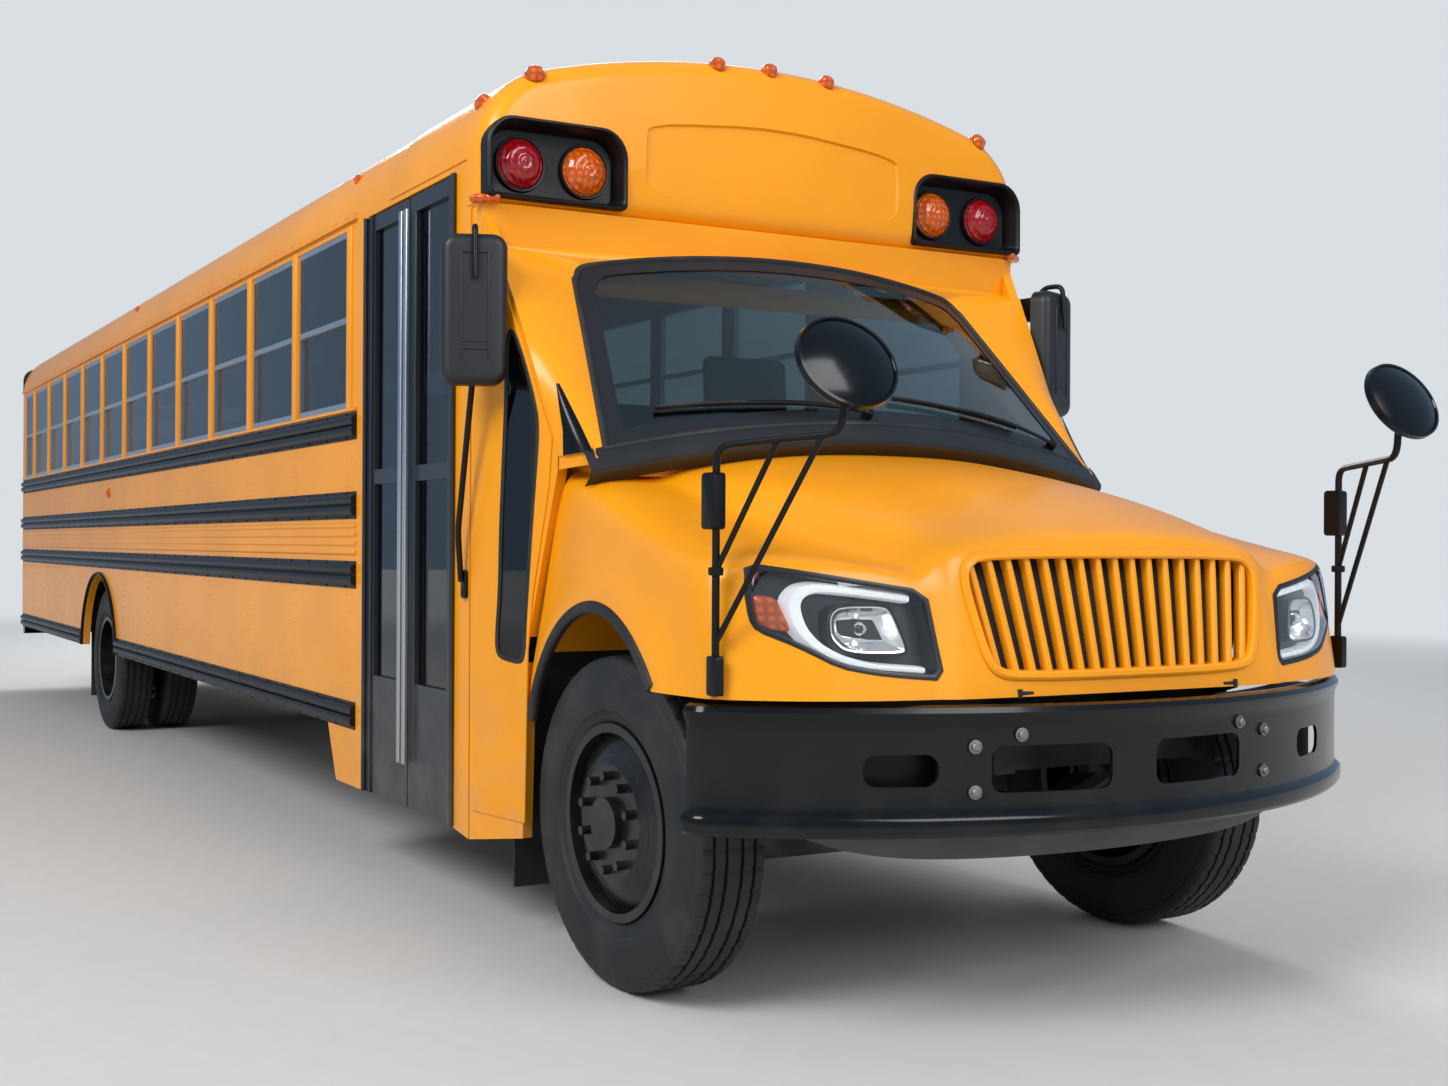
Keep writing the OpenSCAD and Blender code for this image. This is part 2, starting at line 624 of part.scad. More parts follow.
// What lies in the windshield's own plane: X out of the glass, Z up its slope
module on_windshield() translate([ws_x, 0, ws_low_z]) rotate([0, -windshield_rake, 0]) children();

// A bowed sheet in the windshield's plane, from depth d0 to d1, with the side margin m
module bowed_sheet(d0, d1, m, low, high) intersection() {
  translate([ws_bow - ws_bow_r, 0, low]) difference() {
    cylinder(r = ws_bow_r + d1, h = high - low, $fn = 180);
    translate([0, 0, -1]) cylinder(r = ws_bow_r + d0, h = high - low + 2, $fn = 180);
  }
  translate([-400, 0, 0]) rotate([90, 0, 90]) linear_extrude(1000)
    polygon([[-ws_low_y - m, low], [ws_low_y + m, low], [ws_high_y + m, ws_len], [-ws_high_y - m, ws_len]]);
}

module cowl() color(school_yellow) {
  both_sides() translate([body_front_x, half_w, 0]) rotate([0, 0, -cowl_in_deg])
    along_y(-cowl_t, 0) cowl_side_outline();
  // firewall, and the shelf from it out to the foot of the windshield
  block([cowl_front_x - 70, -firewall_half_w, floor_z - 100], [cowl_front_x - 40, firewall_half_w, shelf_z + 5]);
  block([cowl_front_x - 70, -firewall_half_w, shelf_z], [ws_x + 30, firewall_half_w, shelf_z + 45]);
  on_windshield() bowed_sheet(-50, -1, 40, -80, -1);
  // posts and header round the windshield
  both_sides() on_windshield() translate([-56, 0, 0]) rotate([90, 0, 90]) linear_extrude(55.5) polygon([
    [ws_low_y - 30, -40], [ws_low_y + 45, -40], [ws_high_y + 100, ws_len + 60], [ws_high_y - 30, ws_len + 60]]);
  on_windshield() block([-56, -ws_high_y - 60, ws_len - 15], [-0.5, ws_high_y + 60, ws_len + 60]);
  both_sides() block([body_front_x + 1, half_w - 190, 2380], [body_front_x + 60, half_w - 40, cap_low_z - 1]);
}

module windshield() color(glass_tint) on_windshield() bowed_sheet(0, glass_t, 0, 0, ws_len);

// Wipers: a pivot at the foot of the glass, an arm and a blade lying low across it
function bow_at(y) = ws_bow - (ws_bow_r - sqrt(pow(ws_bow_r, 2) - pow(y, 2)));
function over_glass(y, z, h) = [bow_at(y) + glass_t + h, y, z];
module wipers() color(trim_black) for (y = [-60, 860]) on_windshield() {
  translate(over_glass(y, 34, 0.4 + 18 * abs(y) / ws_bow_r)) rotate([0, 90, 0]) cylinder(r = 18, h = 52);
  rod(over_glass(y, 34, 44), over_glass(y - 470, 101, 28), 6);
  rod(over_glass(y - 170, 80, 25), over_glass(y - 770, 122, 25), 8);
}

steering_wheel_r = 225;
driver_y = 560;
module dashboard() color(dark_grey) {
  along_y(-1000, 1000) polygon([
    [cowl_front_x - 70.5, 1330], [cowl_front_x - 70.5, ws_low_z - 62], [cowl_front_x - 220, ws_low_z - 90],
    [cowl_front_x - 330, ws_low_z - 180], [cowl_front_x - 300, 1330]]);
  rod([cowl_front_x - 200, driver_y, 1420], [cowl_front_x - 470, driver_y, 1600], 28);
  translate([cowl_front_x - 480, driver_y, 1606]) rotate([0, -56, 0]) {
    rotate_extrude() translate([steering_wheel_r, 0]) circle(15);
    cylinder(r = 55, h = 30, center = true);
    for (a = [0 : 120 : 240]) rotate([0, 0, a]) translate([0, -12, -8]) cube([steering_wheel_r, 24, 16]);
  }
}

// --- trim and glass on the body ---

rail_proud = 26;
rub_rail_z = [1794, 1460, 1167];
rub_rail_h = 115;

// Ribbed rub rail section: three ridges on a backing strip
module rail_section(h) {
  square([8, h]);
  for (i = [0 : 2]) translate([0, i * (h - h / 4.2) / 2]) square([rail_proud, h / 4.2]);
}
module rub_rail(x0, x1, z, h) along_x(x0, x1) translate([half_w, z]) rail_section(h);
module side_rails(x1) {
  for (z = rub_rail_z) rub_rail(rear_x + wall_t, x1, z, rub_rail_h);
  rub_rail(rear_x + wall_t, rear_axle_x - rear_arch_r - 10, skirt_z, rub_rail_h);
  rub_rail(rear_axle_x + rear_arch_r + 10, x1, skirt_z, rub_rail_h);
  // black lip round the rear wheel arch
  along_y(half_w, half_w + 14) difference() {
    translate([rear_axle_x, rear_arch_z]) circle(rear_arch_r + arch_trim, $fn = 96);
    translate([rear_axle_x, rear_arch_z]) circle(rear_arch_r, $fn = 96);
    translate([rear_axle_x - 900, rear_arch_z - 900]) square([1800, 900 + skirt_z - rear_arch_z]);
  }
}
module rub_rails() color(trim_black) {
  side_rails(entry_rear_x - 130);
  mirror([0, 1, 0]) side_rails(entry_rear_x - 130);
}

// One window's frame: a rectangular ring with a rail across its middle
module sash(w, h) difference() {
  square([w, h]);
  translate([sash_w, sash_w]) square([w - 2 * sash_w, h / 2 - 1.5 * sash_w]);
  translate([sash_w, h / 2 + sash_w / 2]) square([w - 2 * sash_w, h / 2 - 1.5 * sash_w]);
}
sash_d = 34;
module window_frames() color(alloy) {
  both_sides() along_y(half_w - sash_d - 6, half_w - 6) for (i = [0 : window_n - 1])
    translate([window_x(i) - window_w(i), sill_z]) sash(window_w(i), head_z - sill_z);
  along_y(half_w - sash_d - 6, half_w - 6) translate([entry_rear_x + 30, driver_window_z])
    sash(driver_window_w, head_z - 40 - driver_window_z);
}

module pane(x, z, w, h, y) translate([x + sash_w, y, z + sash_w]) cube([w - 2 * sash_w, glass_t, h]);
module sash_panes(x, z, w, h) {
  pane(x, z, w, h / 2 - 1.5 * sash_w, half_w - sash_d + 2);
  pane(x, z + h / 2 - sash_w / 2, w, h / 2 - 1.5 * sash_w, half_w - sash_d / 2);
}
module side_glass() color(glass_tint) {
  both_sides() {
    for (i = [0 : window_n - 1]) sash_panes(window_x(i) - window_w(i), sill_z, window_w(i), head_z - sill_z);
    translate([body_front_x, half_w, 0]) rotate([0, 0, -cowl_in_deg]) along_y(-cowl_t / 2 - glass_t, -cowl_t / 2) {
      translate([140, 960]) square([quarter_w, 740]);
      translate([140, 1700]) polygon([[0, -1], [quarter_w, -1], [quarter_w, 150], [60, 420], [0, 420]]);
    }
  }
  sash_panes(entry_rear_x + 30, driver_window_z, driver_window_w, head_z - 40 - driver_window_z);
  for (s = [-1, 1]) along_x(rear_x + wall_t / 2, rear_x + wall_t / 2 + glass_t)
    translate([s * (rear_window_y + inner_w - 90) / 2, (sill_z + head_z) / 2])
      round_rect(inner_w - 90 - rear_window_y, head_z - sill_z - 60, 60);
}

// --- bumpers ---

bumper_t = 10;
bumper_d = 84;
bumper_half_w = 1285;
bumper_low_z = bumper_z - bumper_h;

// Plan outline of the bumper: a bow with rounded wrap-round ends
module bumper_plan(t) intersection() {
  translate([nose_x - bumper_bow_r - t, 0]) circle(bumper_bow_r, $fn = 240);
  translate([nose_x - 430, -bumper_half_w + t]) square([500, 2 * (bumper_half_w - t)]);
}
module slot_hole(y, z, w, h) translate([nose_x - 330, y, z]) rotate([90, 0, 90]) linear_extrude(400) round_rect(w, h, h / 2 - 1);
module front_bumper() color(trim_black) {
  difference() {
    translate([0, 0, bumper_low_z]) linear_extrude(bumper_h) bumper_plan(0);
    translate([0, 0, bumper_low_z + bumper_t]) linear_extrude(bumper_h - 2 * bumper_t) bumper_plan(bumper_t);
    translate([0, 0, bumper_low_z - 1]) linear_extrude(bumper_h + 2) translate([-bumper_d, 0]) intersection() {
      bumper_plan(bumper_t);
      translate([0, -bumper_half_w + 60]) square([nose_x + 1, 2 * bumper_half_w - 120]);
    }
    for (y = [-788, 788]) slot_hole(y, bumper_z - 172, 190, 84);
    for (y = [-260, 260]) slot_hole(y, bumper_z - 172, 330, 120);
  }
  // brackets back to the frame rails
  both_sides() block([frame_front_x + 0.3, frame_w / 2 - 60, bumper_z - 240], [nose_x - 40, frame_w / 2 - 20, bumper_z - 60]);
}

module rear_bumper() color(trim_black) {
  difference() {
    block([tail_x, -half_w + 20, 500], [rear_x - seat_gap, half_w - 20, 760]);
    block([tail_x + bumper_t, -half_w + 20 + bumper_t, 500 + bumper_t], [rear_x, half_w - 20 - bumper_t, 760 - bumper_t]);
  }
}

// --- lamps ---

box_w = 486;
box_h = 288;
box_y = 901;
box_z = 2710;
box_rim = 12;
rear_box_up = 120;      // the rear boxes sit this much higher
lens_r = 89;
outer_lens_y = 1036;
inner_lens_y = 790;

// A shallow black tray round two lamps, its back on x = 0
module lamp_tray(h) difference() {
  along_x(seat_gap, 30) translate([box_y, 0]) round_rect(box_w, h, 50);
  along_x(box_rim, 40) translate([box_y, 0]) round_rect(box_w - 2 * box_rim, h - 2 * box_rim, 40);
}
module lamp_housings() color(trim_black) both_sides() {
  translate([cap_front_x, 0, box_z]) lamp_tray(box_h);
  translate([rear_x, 0, box_z + rear_box_up]) mirror([1, 0, 0]) lamp_tray(box_h - 60);
}

// A round lamp: a base plate and a domed lens, along +X
module lens(r, h) {
  rotate([0, 90, 0]) cylinder(r = r, h = 8);
  translate([8, 0, 0]) rotate([0, 90, 0]) cylinder(r1 = r, r2 = r * 0.8, h = h);
}
// A marker on the brow's rounded edge, halfway round it; p is the outline's point there
// and a is the outline's angle
module brow_marker(p, a) {
  n = [sin(45), cos(45) * cos(a), cos(45) * sin(a)];
  translate([cap_front_x - cap_edge_r * (1 - sin(45)), p[0], p[1]] + seat_gap * n)
    rotate([0, -asin(n[2]), atan2(n[1], n[0])]) lens(34, 24);
}
marker_in = cap_edge_r * (1 - cos(45));
eave_marker_deg = eave_end_deg * (eave_steps - 1) / eave_steps;
module signal_lamps() color(lamp_red) {
  both_sides() {
    for (y = [outer_lens_y, inner_lens_y]) {
      translate([cap_front_x + box_rim + seat_gap, y, box_z]) lens(lens_r, 20);
      translate([rear_x - box_rim - seat_gap, y, box_z + rear_box_up]) mirror([1, 0, 0]) lens(lens_r, 20);
    }
    for (z = [1650, 1360]) translate([rear_x - seat_gap, half_w - 160, z]) mirror([1, 0, 0]) lens(lens_r, 20);
    for (x = [entry_rear_x - 300, rear_axle_x + 900])
      translate([x, half_w + seat_gap, 2705]) rotate([0, 0, 90]) lens(20, 20);
  }
  for (i = [-1, 0, 1]) brow_marker(crown_point(crown_deg(crown_steps / 2 + i), marker_in), crown_deg(crown_steps / 2 + i));
  both_sides() brow_marker(eave_point(eave_marker_deg, marker_in), eave_marker_deg);
}

// --- mirrors ---

mirror_x = body_front_x + 215;
mirror_y = half_w + 85;
mirror_z = 2150;
module side_mirrors() color(trim_black) both_sides() {
  translate([mirror_x, mirror_y, mirror_z]) rotate([0, 0, 20]) {
    along_x(-38, 24) round_rect(226, 510, 52);
    along_x(23, 46) round_rect(186, 470, 52);
  }
  tube_run([[body_front_x - 10, half_w + 15, 2330], [mirror_x, mirror_y - 20, 2330], [mirror_x, mirror_y, 2260]], 14);
  tube_run([[body_front_x - 20, half_w + 13, 1210], [mirror_x - 60, mirror_y - 20, 1960], [mirror_x, mirror_y, 2010]], 11);
  block([body_front_x - 60, half_w + 0.3, 2280], [body_front_x + 0, half_w + 14, 2390]);
  block([body_front_x - 50, half_w + 0.3, 1170], [body_front_x - 4, half_w + 14, 1250]);
}

// Oval mirror on a tube that stands on the fender's front corner, with a stay
module crossview() {
  foot = [axle_x + 715, 1224, 1000];
  bend = [axle_x + 715, 1224, 1620];
  elbow = [axle_x + 1035, 1060, 1640];
  tube_run([foot, bend, elbow, elbow + [10, 0, 150]], 10);
  rod(bend + [0, 0, -330], (bend + elbow) / 2, 8);
  translate(foot + [0, 0, -10]) cylinder(r = 22, h = 80, $fn = 24);
  translate(elbow + [14, 0, 172]) rotate([0, 66, 0]) cylinder(r = 136, h = 24, center = true);
}
module crossview_mirrors() color(trim_black) both_sides() crossview();

flap_x = cowl_front_x - 120;
module mud_flaps() color(trim_black) both_sides() {
  block([flap_x - 10, front_tyre_y - tyre_w / 2 - 40, 180],
        [flap_x, half_w - (flap_x - body_front_x) * tan(cowl_in_deg) - cowl_t / cos(cowl_in_deg) - seat_gap, entry_z + 560]);
  block([rear_axle_x - tyre_d / 2 - 160, rear_inner_y - tyre_w / 2 - 20, 180], [rear_axle_x - tyre_d / 2 - 148, rear_outer_y + 100, floor_z - floor_t]);
}

// --- seats ---

cushion_h = 120;
cushion_l = 430;
cushion_z = floor_z + 330;
back_h = 640;
bench_n = floor((window_front_x - rear_x - 900) / bench_pitch);

module bench() {
  block([0, 0, cushion_z], [cushion_l, bench_w, cushion_z + cushion_h]);
  along_y(0, bench_w) polygon([
    [-40, cushion_z - 20], [20, cushion_z - 20], [20, cushion_z + cushion_h],
    [-60 + bench_back_t / 2, cushion_z + back_h], [-110, cushion_z + back_h]]);
  for (x = [20, cushion_l - 60], y = [60]) block([x, y, floor_z], [x + 36, y + 36, cushion_z + 1]);
  for (x = [20, cushion_l - 60]) block([x, bench_w - 110, floor_z], [x + 36, bench_w - 74, cushion_z + 1]);
}
module passenger_seats() color(seat_brown) for (i = [0 : bench_n - 1])
  both_sides() translate([window_front_x - 420 - i * bench_pitch, inner_w - bench_w - 8, 0]) bench();

seat_x = entry_rear_x + 130;
module driver_seat() color(dark_grey) translate([seat_x, driver_y, 0]) {
  block([0, -240, floor_z + 360], [480, 240, floor_z + 480]);
  along_y(-230, 230) polygon([
    [-30, floor_z + 380], [70, floor_z + 380], [20, floor_z + 1130], [-80, floor_z + 1130]]);
  translate([220, 0, floor_z]) cylinder(r = 120, h = 361);
}

// --- doors ---

leaf_w = entry_w / 2 - 1.5 * door_gap;
entry_leaf_z = entry_z + 4;
entry_leaf_h = head_z + 13 - door_gap - entry_leaf_z;
leaf_frame = 62;
leaf_out_y = half_w - 4;
kick_z = 480;
barrel_r = 10;           // hinge barrels of the doors
hinge_in = 6;            // from the jamb's edge to the hinge axis

// A leaf in its own frame: X from the hinge edge, Z up from its foot
module leaf_glass_holes(m) {
  mid = entry_leaf_h * 0.56;
  translate([leaf_frame - m, kick_z - m]) square([leaf_w - 2 * leaf_frame + 2 * m, mid - kick_z - 60 + 2 * m]);
  translate([leaf_frame - m, mid - m]) square([leaf_w - 2 * leaf_frame + 2 * m, entry_leaf_h - mid - leaf_frame + 2 * m]);
}
module leaf_panel() {
  along_y(-leaf_out_y, -leaf_out_y + leaf_t) difference() {
    square([leaf_w, entry_leaf_h]);
    leaf_glass_holes(0);
  }
  // hinge barrel along the jamb, and its strap on the leaf's face
  translate([-door_gap - hinge_in, -half_w - barrel_r - seat_gap, 0]) cylinder(r = barrel_r, h = entry_leaf_h, $fn = 32);
  block([-door_gap - hinge_in, -half_w - seat_gap - 3, 0], [leaf_frame - 20, -half_w - seat_gap, entry_leaf_h]);
  block([0, -half_w - seat_gap - 1, 0], [leaf_frame - 20, -leaf_out_y + 1, entry_leaf_h]);
}
module leaf_glass() along_y(-leaf_out_y + leaf_t / 2 - glass_t / 2, -leaf_out_y + leaf_t / 2 + glass_t / 2) leaf_glass_holes(0);

module at_rear_leaf() translate([entry_rear_x + door_gap, 0, entry_leaf_z]) children();
module at_front_leaf() translate([entry_front_x - door_gap, 0, entry_leaf_z]) mirror([1, 0, 0]) children();
module entry_door_rear() color(dark_grey) at_rear_leaf() leaf_panel();
module entry_door_front() color(dark_grey) at_front_leaf() leaf_panel();
module entry_glass_rear() color(glass_tint) at_rear_leaf() leaf_glass();
module entry_glass_front() color(glass_tint) at_front_leaf() leaf_glass();

// Rear emergency door: one leaf with an upper and a lower window
module rear_door_holes() {
  translate([0, 2250]) round_rect(rear_door_w - 240, 560, 50);
  translate([0, 1560]) round_rect(rear_door_w - 300, 300, 40);
}
module rear_door() color(school_yellow) {
  along_x(rear_x + 2, rear_x + 2 + leaf_t) difference() {
    translate([-rear_door_w / 2 + door_gap, floor_z + 8])
      square([rear_door_w - 2 * door_gap, rear_door_head_z - door_gap - floor_z - 8]);
    rear_door_holes();
  }
  translate([rear_x - barrel_r - seat_gap, -rear_door_w / 2 - hinge_in, floor_z + 8]) {
    cylinder(r = barrel_r, h = rear_door_head_z - door_gap - floor_z - 8, $fn = 32);
    translate([barrel_r - 3, 0, 0]) cube([3, 60, rear_door_head_z - door_gap - floor_z - 8]);
    translate([barrel_r - 1, hinge_in + door_gap, 0]) cube([4, 46, rear_door_head_z - door_gap - floor_z - 8]);
  }
  block([rear_x - 34, 280, 1840], [rear_x - 22, 390, 1880]);
  block([rear_x - 34, 360, 1840], [rear_x + 3, 390, 1880]);
}
module rear_door_glass() color(glass_tint) along_x(rear_x + 20, rear_x + 20 + glass_t) rear_door_holes();

// Stop arm: a blank octagon on a hinge bar beside the driver
arm_x = entry_rear_x - 170;
arm_z = 1372;
arm_y = half_w + rail_proud + 12;
module stop_arm() color(lamp_red) {
  translate([arm_x - 280, arm_y, arm_z]) rotate([-90, 22.5, 0]) cylinder(r = 240, h = 12, $fn = 8);
  block([arm_x - 120, arm_y - 8, arm_z - 40], [arm_x - 8, arm_y + 4, arm_z + 40]);
  translate([arm_x, arm_y, arm_z - 60 + seat_gap]) cylinder(r = 14, h = 120 - 2 * seat_gap, $fn = 24);
}

// --- hood ---

fender_w = 1262;
nose_half_w = 660;
hood_low_z = bumper_z + 12;
hood_rear_x = ws_x - 130;

// A cross slice of the hood: half widths low and at the shoulder, shoulder and crown heights
module hood_slice(x, w, top_w, low, shoulder, crown) along_x(x, x + 1) polygon([
  [-w, low], [w, low], [w, shoulder - 190], [top_w, shoulder - 20], [top_w - 60, shoulder + 10],
  [top_w * 0.6, shoulder + (crown - shoulder) * 0.75], [0, crown], [-top_w * 0.6, shoulder + (crown - shoulder) * 0.75],
  [-top_w + 60, shoulder + 10], [-top_w, shoulder - 20], [-w, shoulder - 190]]);

module hood_body(t, low) hull() {
  hood_slice(hood_rear_x - max(t, 0), 1122 - t, 1122 - t, low, 1560 - t, 1690 - t);
  hood_slice(axle_x, fender_w - 10 - t, 1190 - t, low, 1440 - t, 1650 - t);
  hood_slice(axle_x + 650, fender_w - t, 1115 - t, low, 1285 - t, 1480 - t);
  hood_slice(axle_x + 800 - t, 1095 - t, 960 - t, low, 1270 - t, 1415 - t);
  hood_slice(axle_x + 945 - t, nose_half_w - t, 640 - t, low, 1320 - t, 1350 - t);
}

// Everything behind the windshield's plane, with a running gap to the hood
ws_gap = 14;
module windshield_space() intersection() {
  on_windshield() translate([ws_bow - ws_bow_r, 0, -380]) cylinder(r = ws_bow_r + glass_t + 45 + ws_gap, h = 900, $fn = 180);
  block([hood_rear_x - 200, -1100 + 12, 1380], [ws_x + 700, 1100 - 12, 2200]);
}

grille_w = 1090;
grille_low_z = 990;
grille_high_z = 1300;

module hood() color(school_yellow) {
  difference() {
    hood_body(0, 760);
    hood_body(hood_t, 600);
    windshield_space();
    // room for the frame's hinge brackets
    both_sides() block([axle_x + 700, pivot_y + 10, 900], [nose_x, pivot_y + 38, hood_pivot_z + 19]);
    // wheel arches, and the front edge that clears the bumper
    translate([axle_x, 0, axle_z + 95]) rotate([90, 0, 0]) cylinder(r = arch_r, h = 4000, center = true, $fn = 96);
    block([axle_x, -1500, 500], [nose_x, 1500, hood_low_z]);
    block([axle_x - 900, -1500, 500], [axle_x, 1500, 1000]);
    // grille and headlight openings in the nose
    block([axle_x + 700, -grille_w / 2, grille_low_z], [nose_x, grille_w / 2, grille_high_z]);
    both_sides() headlight_space(4);
  }
  // hinge ears that reach down to the pivot pins
  both_sides() difference() {
    union() {
      along_y(pivot_y - 22, pivot_y + 8) polygon([
        [axle_x + 918, hood_pivot_z - 8], [hood_pivot_x, hood_pivot_z - 14], [hood_pivot_x, hood_pivot_z + 14], [axle_x + 918, hood_pivot_z + 24]]);
      translate([hood_pivot_x, pivot_y + 8, hood_pivot_z]) rotate([90, 0, 0]) cylinder(r = 14.5, h = 30, $fn = 32);
    }
    translate([hood_pivot_x, pivot_y, hood_pivot_z]) rotate([90, 0, 0]) cylinder(r = pivot_pin_r + 0.06, h = 100, center = true);
  }
}

// Grille: a frame with upright slats
module grille() color(school_yellow) {
  pitch = (grille_w - 60) / slat_n;
  x1 = axle_x + 948;
  difference() {
    block([x1 - 40, -grille_w / 2 + seat_gap, grille_low_z + seat_gap], [x1, grille_w / 2 - seat_gap, grille_high_z - seat_gap]);
    block([x1 - 60, -grille_w / 2 + 30, grille_low_z + 24], [x1 + 20, grille_w / 2 - 30, grille_high_z - 24]);
  }
  for (i = [0 : slat_n - 1]) block([x1 - 38, -grille_w / 2 + 30 + (i + 0.28) * pitch, grille_low_z + 20],
                                   [x1 - 4, -grille_w / 2 + 30 + (i + 0.72) * pitch, grille_high_z - 20]);
}

// The room a headlight takes in the corner of the nose
module headlight_space(m) intersection() {
  block([axle_x + 560, 640 - m, 1012 - m], [axle_x + 990, 1180 + m, 1245 + m]);
  translate([axle_x + 620, 640, 900]) rotate([0, 0, -45]) translate([-400, -160 - m, 0]) cube([1400, 700, 500]);
}
module headlights() color("#C9CED2") both_sides() intersection() {
  headlight_space(0);
  hood_body(4, 760);
}

chassis_frame();
front_axle();
rear_axle();
leaf_springs();
engine_block();
radiator();
drive_shaft();
fuel_tank();
exhaust();
floor();
side_wall_right();
side_wall_left();
roof();
front_cap();
rear_wall();
cowl();
dashboard();
step_well();
rub_rails();
window_frames();
side_glass();
windshield();
front_bumper();
rear_bumper();
lamp_housings();
signal_lamps();
side_mirrors();
mud_flaps();
wipers();
passenger_seats();
driver_seat();
knuckle_left();
knuckle_right();
front_wheel_left();
front_wheel_right();
front_tyre_left();
front_tyre_right();
rear_wheels_left();
rear_wheels_right();
rear_tyres_left();
rear_tyres_right();
entry_door_front();
entry_door_rear();
entry_glass_front();
entry_glass_rear();
rear_door();
rear_door_glass();
hood();
grille();
headlights();
crossview_mirrors();
stop_arm();
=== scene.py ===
# %% [markdown]
# # A conventional school bus
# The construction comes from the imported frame, which holds every piece at its real size.
# This notebook adds the looks: paint, glass, rubber and lamps, and the shapes that are
# easier to write as smooth surfaces than as solids, such as the hood, the tyres and the lamps.
# Every length is in metres, +X is the front, +Y is the driver's side and +Z is up.

# %% Load the frame
import bmesh
import bpy
import json
import numpy as np
from math import pi, radians, sin, cos
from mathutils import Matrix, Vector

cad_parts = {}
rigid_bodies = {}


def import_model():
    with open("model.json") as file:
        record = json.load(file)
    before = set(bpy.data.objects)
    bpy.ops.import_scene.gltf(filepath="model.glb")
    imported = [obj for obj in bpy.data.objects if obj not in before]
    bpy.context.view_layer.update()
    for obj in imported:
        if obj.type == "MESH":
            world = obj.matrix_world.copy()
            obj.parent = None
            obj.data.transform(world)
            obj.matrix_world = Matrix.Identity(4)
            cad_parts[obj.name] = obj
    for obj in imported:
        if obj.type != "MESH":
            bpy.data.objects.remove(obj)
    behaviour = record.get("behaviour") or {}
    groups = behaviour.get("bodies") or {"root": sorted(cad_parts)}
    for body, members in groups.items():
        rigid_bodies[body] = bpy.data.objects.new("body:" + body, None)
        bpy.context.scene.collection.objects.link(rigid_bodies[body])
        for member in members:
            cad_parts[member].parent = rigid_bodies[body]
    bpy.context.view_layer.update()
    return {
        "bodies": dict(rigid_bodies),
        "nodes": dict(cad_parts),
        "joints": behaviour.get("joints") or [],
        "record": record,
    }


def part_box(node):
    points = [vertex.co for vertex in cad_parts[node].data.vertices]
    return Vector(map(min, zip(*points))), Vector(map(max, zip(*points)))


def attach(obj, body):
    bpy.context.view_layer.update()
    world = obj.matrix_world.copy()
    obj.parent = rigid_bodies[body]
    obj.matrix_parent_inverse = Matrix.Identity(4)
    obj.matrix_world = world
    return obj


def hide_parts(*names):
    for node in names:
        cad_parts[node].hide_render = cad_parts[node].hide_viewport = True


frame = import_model()
nodes = frame["nodes"]

# %% [markdown]
# ## Camera
# The bus is seen from low down and from the curb side, about 64 degrees round from its nose,
# with a lens a little longer than normal. The view is shifted sideways, not turned, so that
# the upright edges stay upright.

# %% Camera
scene = bpy.context.scene
camera = bpy.data.objects.new("camera", bpy.data.cameras.new("camera"))
scene.collection.objects.link(camera)
camera.location = (9.204, -3.497, 1.362)
camera.rotation_euler = (radians(90.0), radians(-0.3), radians(63.4))
camera.data.lens = 39.26
camera.data.sensor_width = 36.0
camera.data.shift_x = 0.128
camera.data.clip_end = 200.0
scene.camera = camera

# %% [markdown]
# ## Light
# Glossy paint shows its surroundings, so the room is a pale dome, which looks sky blue in reflections,
# with one large soft key lamp on the curb side, a weaker one in front and a fill lamp behind.
# The floor is a plain pale disc, wide enough that its edge is never seen.

# %% Floor, lamps and world
scene.view_settings.view_transform = "Standard"


def area_lamp(name, place, target, size, power):
    """A square soft lamp at place that faces target."""
    lamp = bpy.data.objects.new(name, bpy.data.lights.new(name, "AREA"))
    scene.collection.objects.link(lamp)
    lamp.data.size = size
    lamp.data.energy = power
    lamp.location = place
    direction = np.subtract(target, place)
    flat = float(np.hypot(direction[0], direction[1]))
    lamp.rotation_euler = (float(np.arctan2(flat, -direction[2])), 0.0,
                           float(np.arctan2(direction[1], direction[0])) - pi / 2)
    return lamp


area_lamp("key", (9.0, -13.0, 11.0), (1.0, 0.0, 1.0), 7.0, 2050.0)
area_lamp("front", (17.0, 2.0, 9.0), (4.0, 0.0, 1.5), 7.0, 1000.0)
area_lamp("rear_fill", (-12.0, 7.0, 9.0), (-2.0, 0.0, 1.5), 8.0, 1500.0)

world = bpy.data.worlds.new("studio")
scene.world = world
world.use_nodes = True
sky = world.node_tree
light = sky.nodes["Background"]
light.inputs["Color"].default_value = (0.92, 0.96, 1.0, 1.0)
light.inputs["Strength"].default_value = 0.42
pale = sky.nodes.new("ShaderNodeBackground")
pale.inputs["Color"].default_value = (0.70, 0.735, 0.77, 1.0)
blue = sky.nodes.new("ShaderNodeBackground")
blue.inputs["Color"].default_value = (0.36, 0.55, 0.80, 1.0)
blue.inputs["Strength"].default_value = 0.62
paths = sky.nodes.new("ShaderNodeLightPath")
either = sky.nodes.new("ShaderNodeMath")
either.operation = "MAXIMUM"
seen = sky.nodes.new("ShaderNodeMixShader")
shine = sky.nodes.new("ShaderNodeMixShader")
sky.links.new(paths.outputs["Is Camera Ray"], either.inputs[0])
sky.links.new(paths.outputs["Is Transmission Ray"], either.inputs[1])
sky.links.new(paths.outputs["Is Glossy Ray"], shine.inputs[0])
sky.links.new(light.outputs[0], shine.inputs[1])
sky.links.new(blue.outputs[0], shine.inputs[2])
sky.links.new(either.outputs[0], seen.inputs[0])
sky.links.new(shine.outputs[0], seen.inputs[1])
sky.links.new(pale.outputs[0], seen.inputs[2])
sky.links.new(seen.outputs[0], sky.nodes["World Output"].inputs[0])

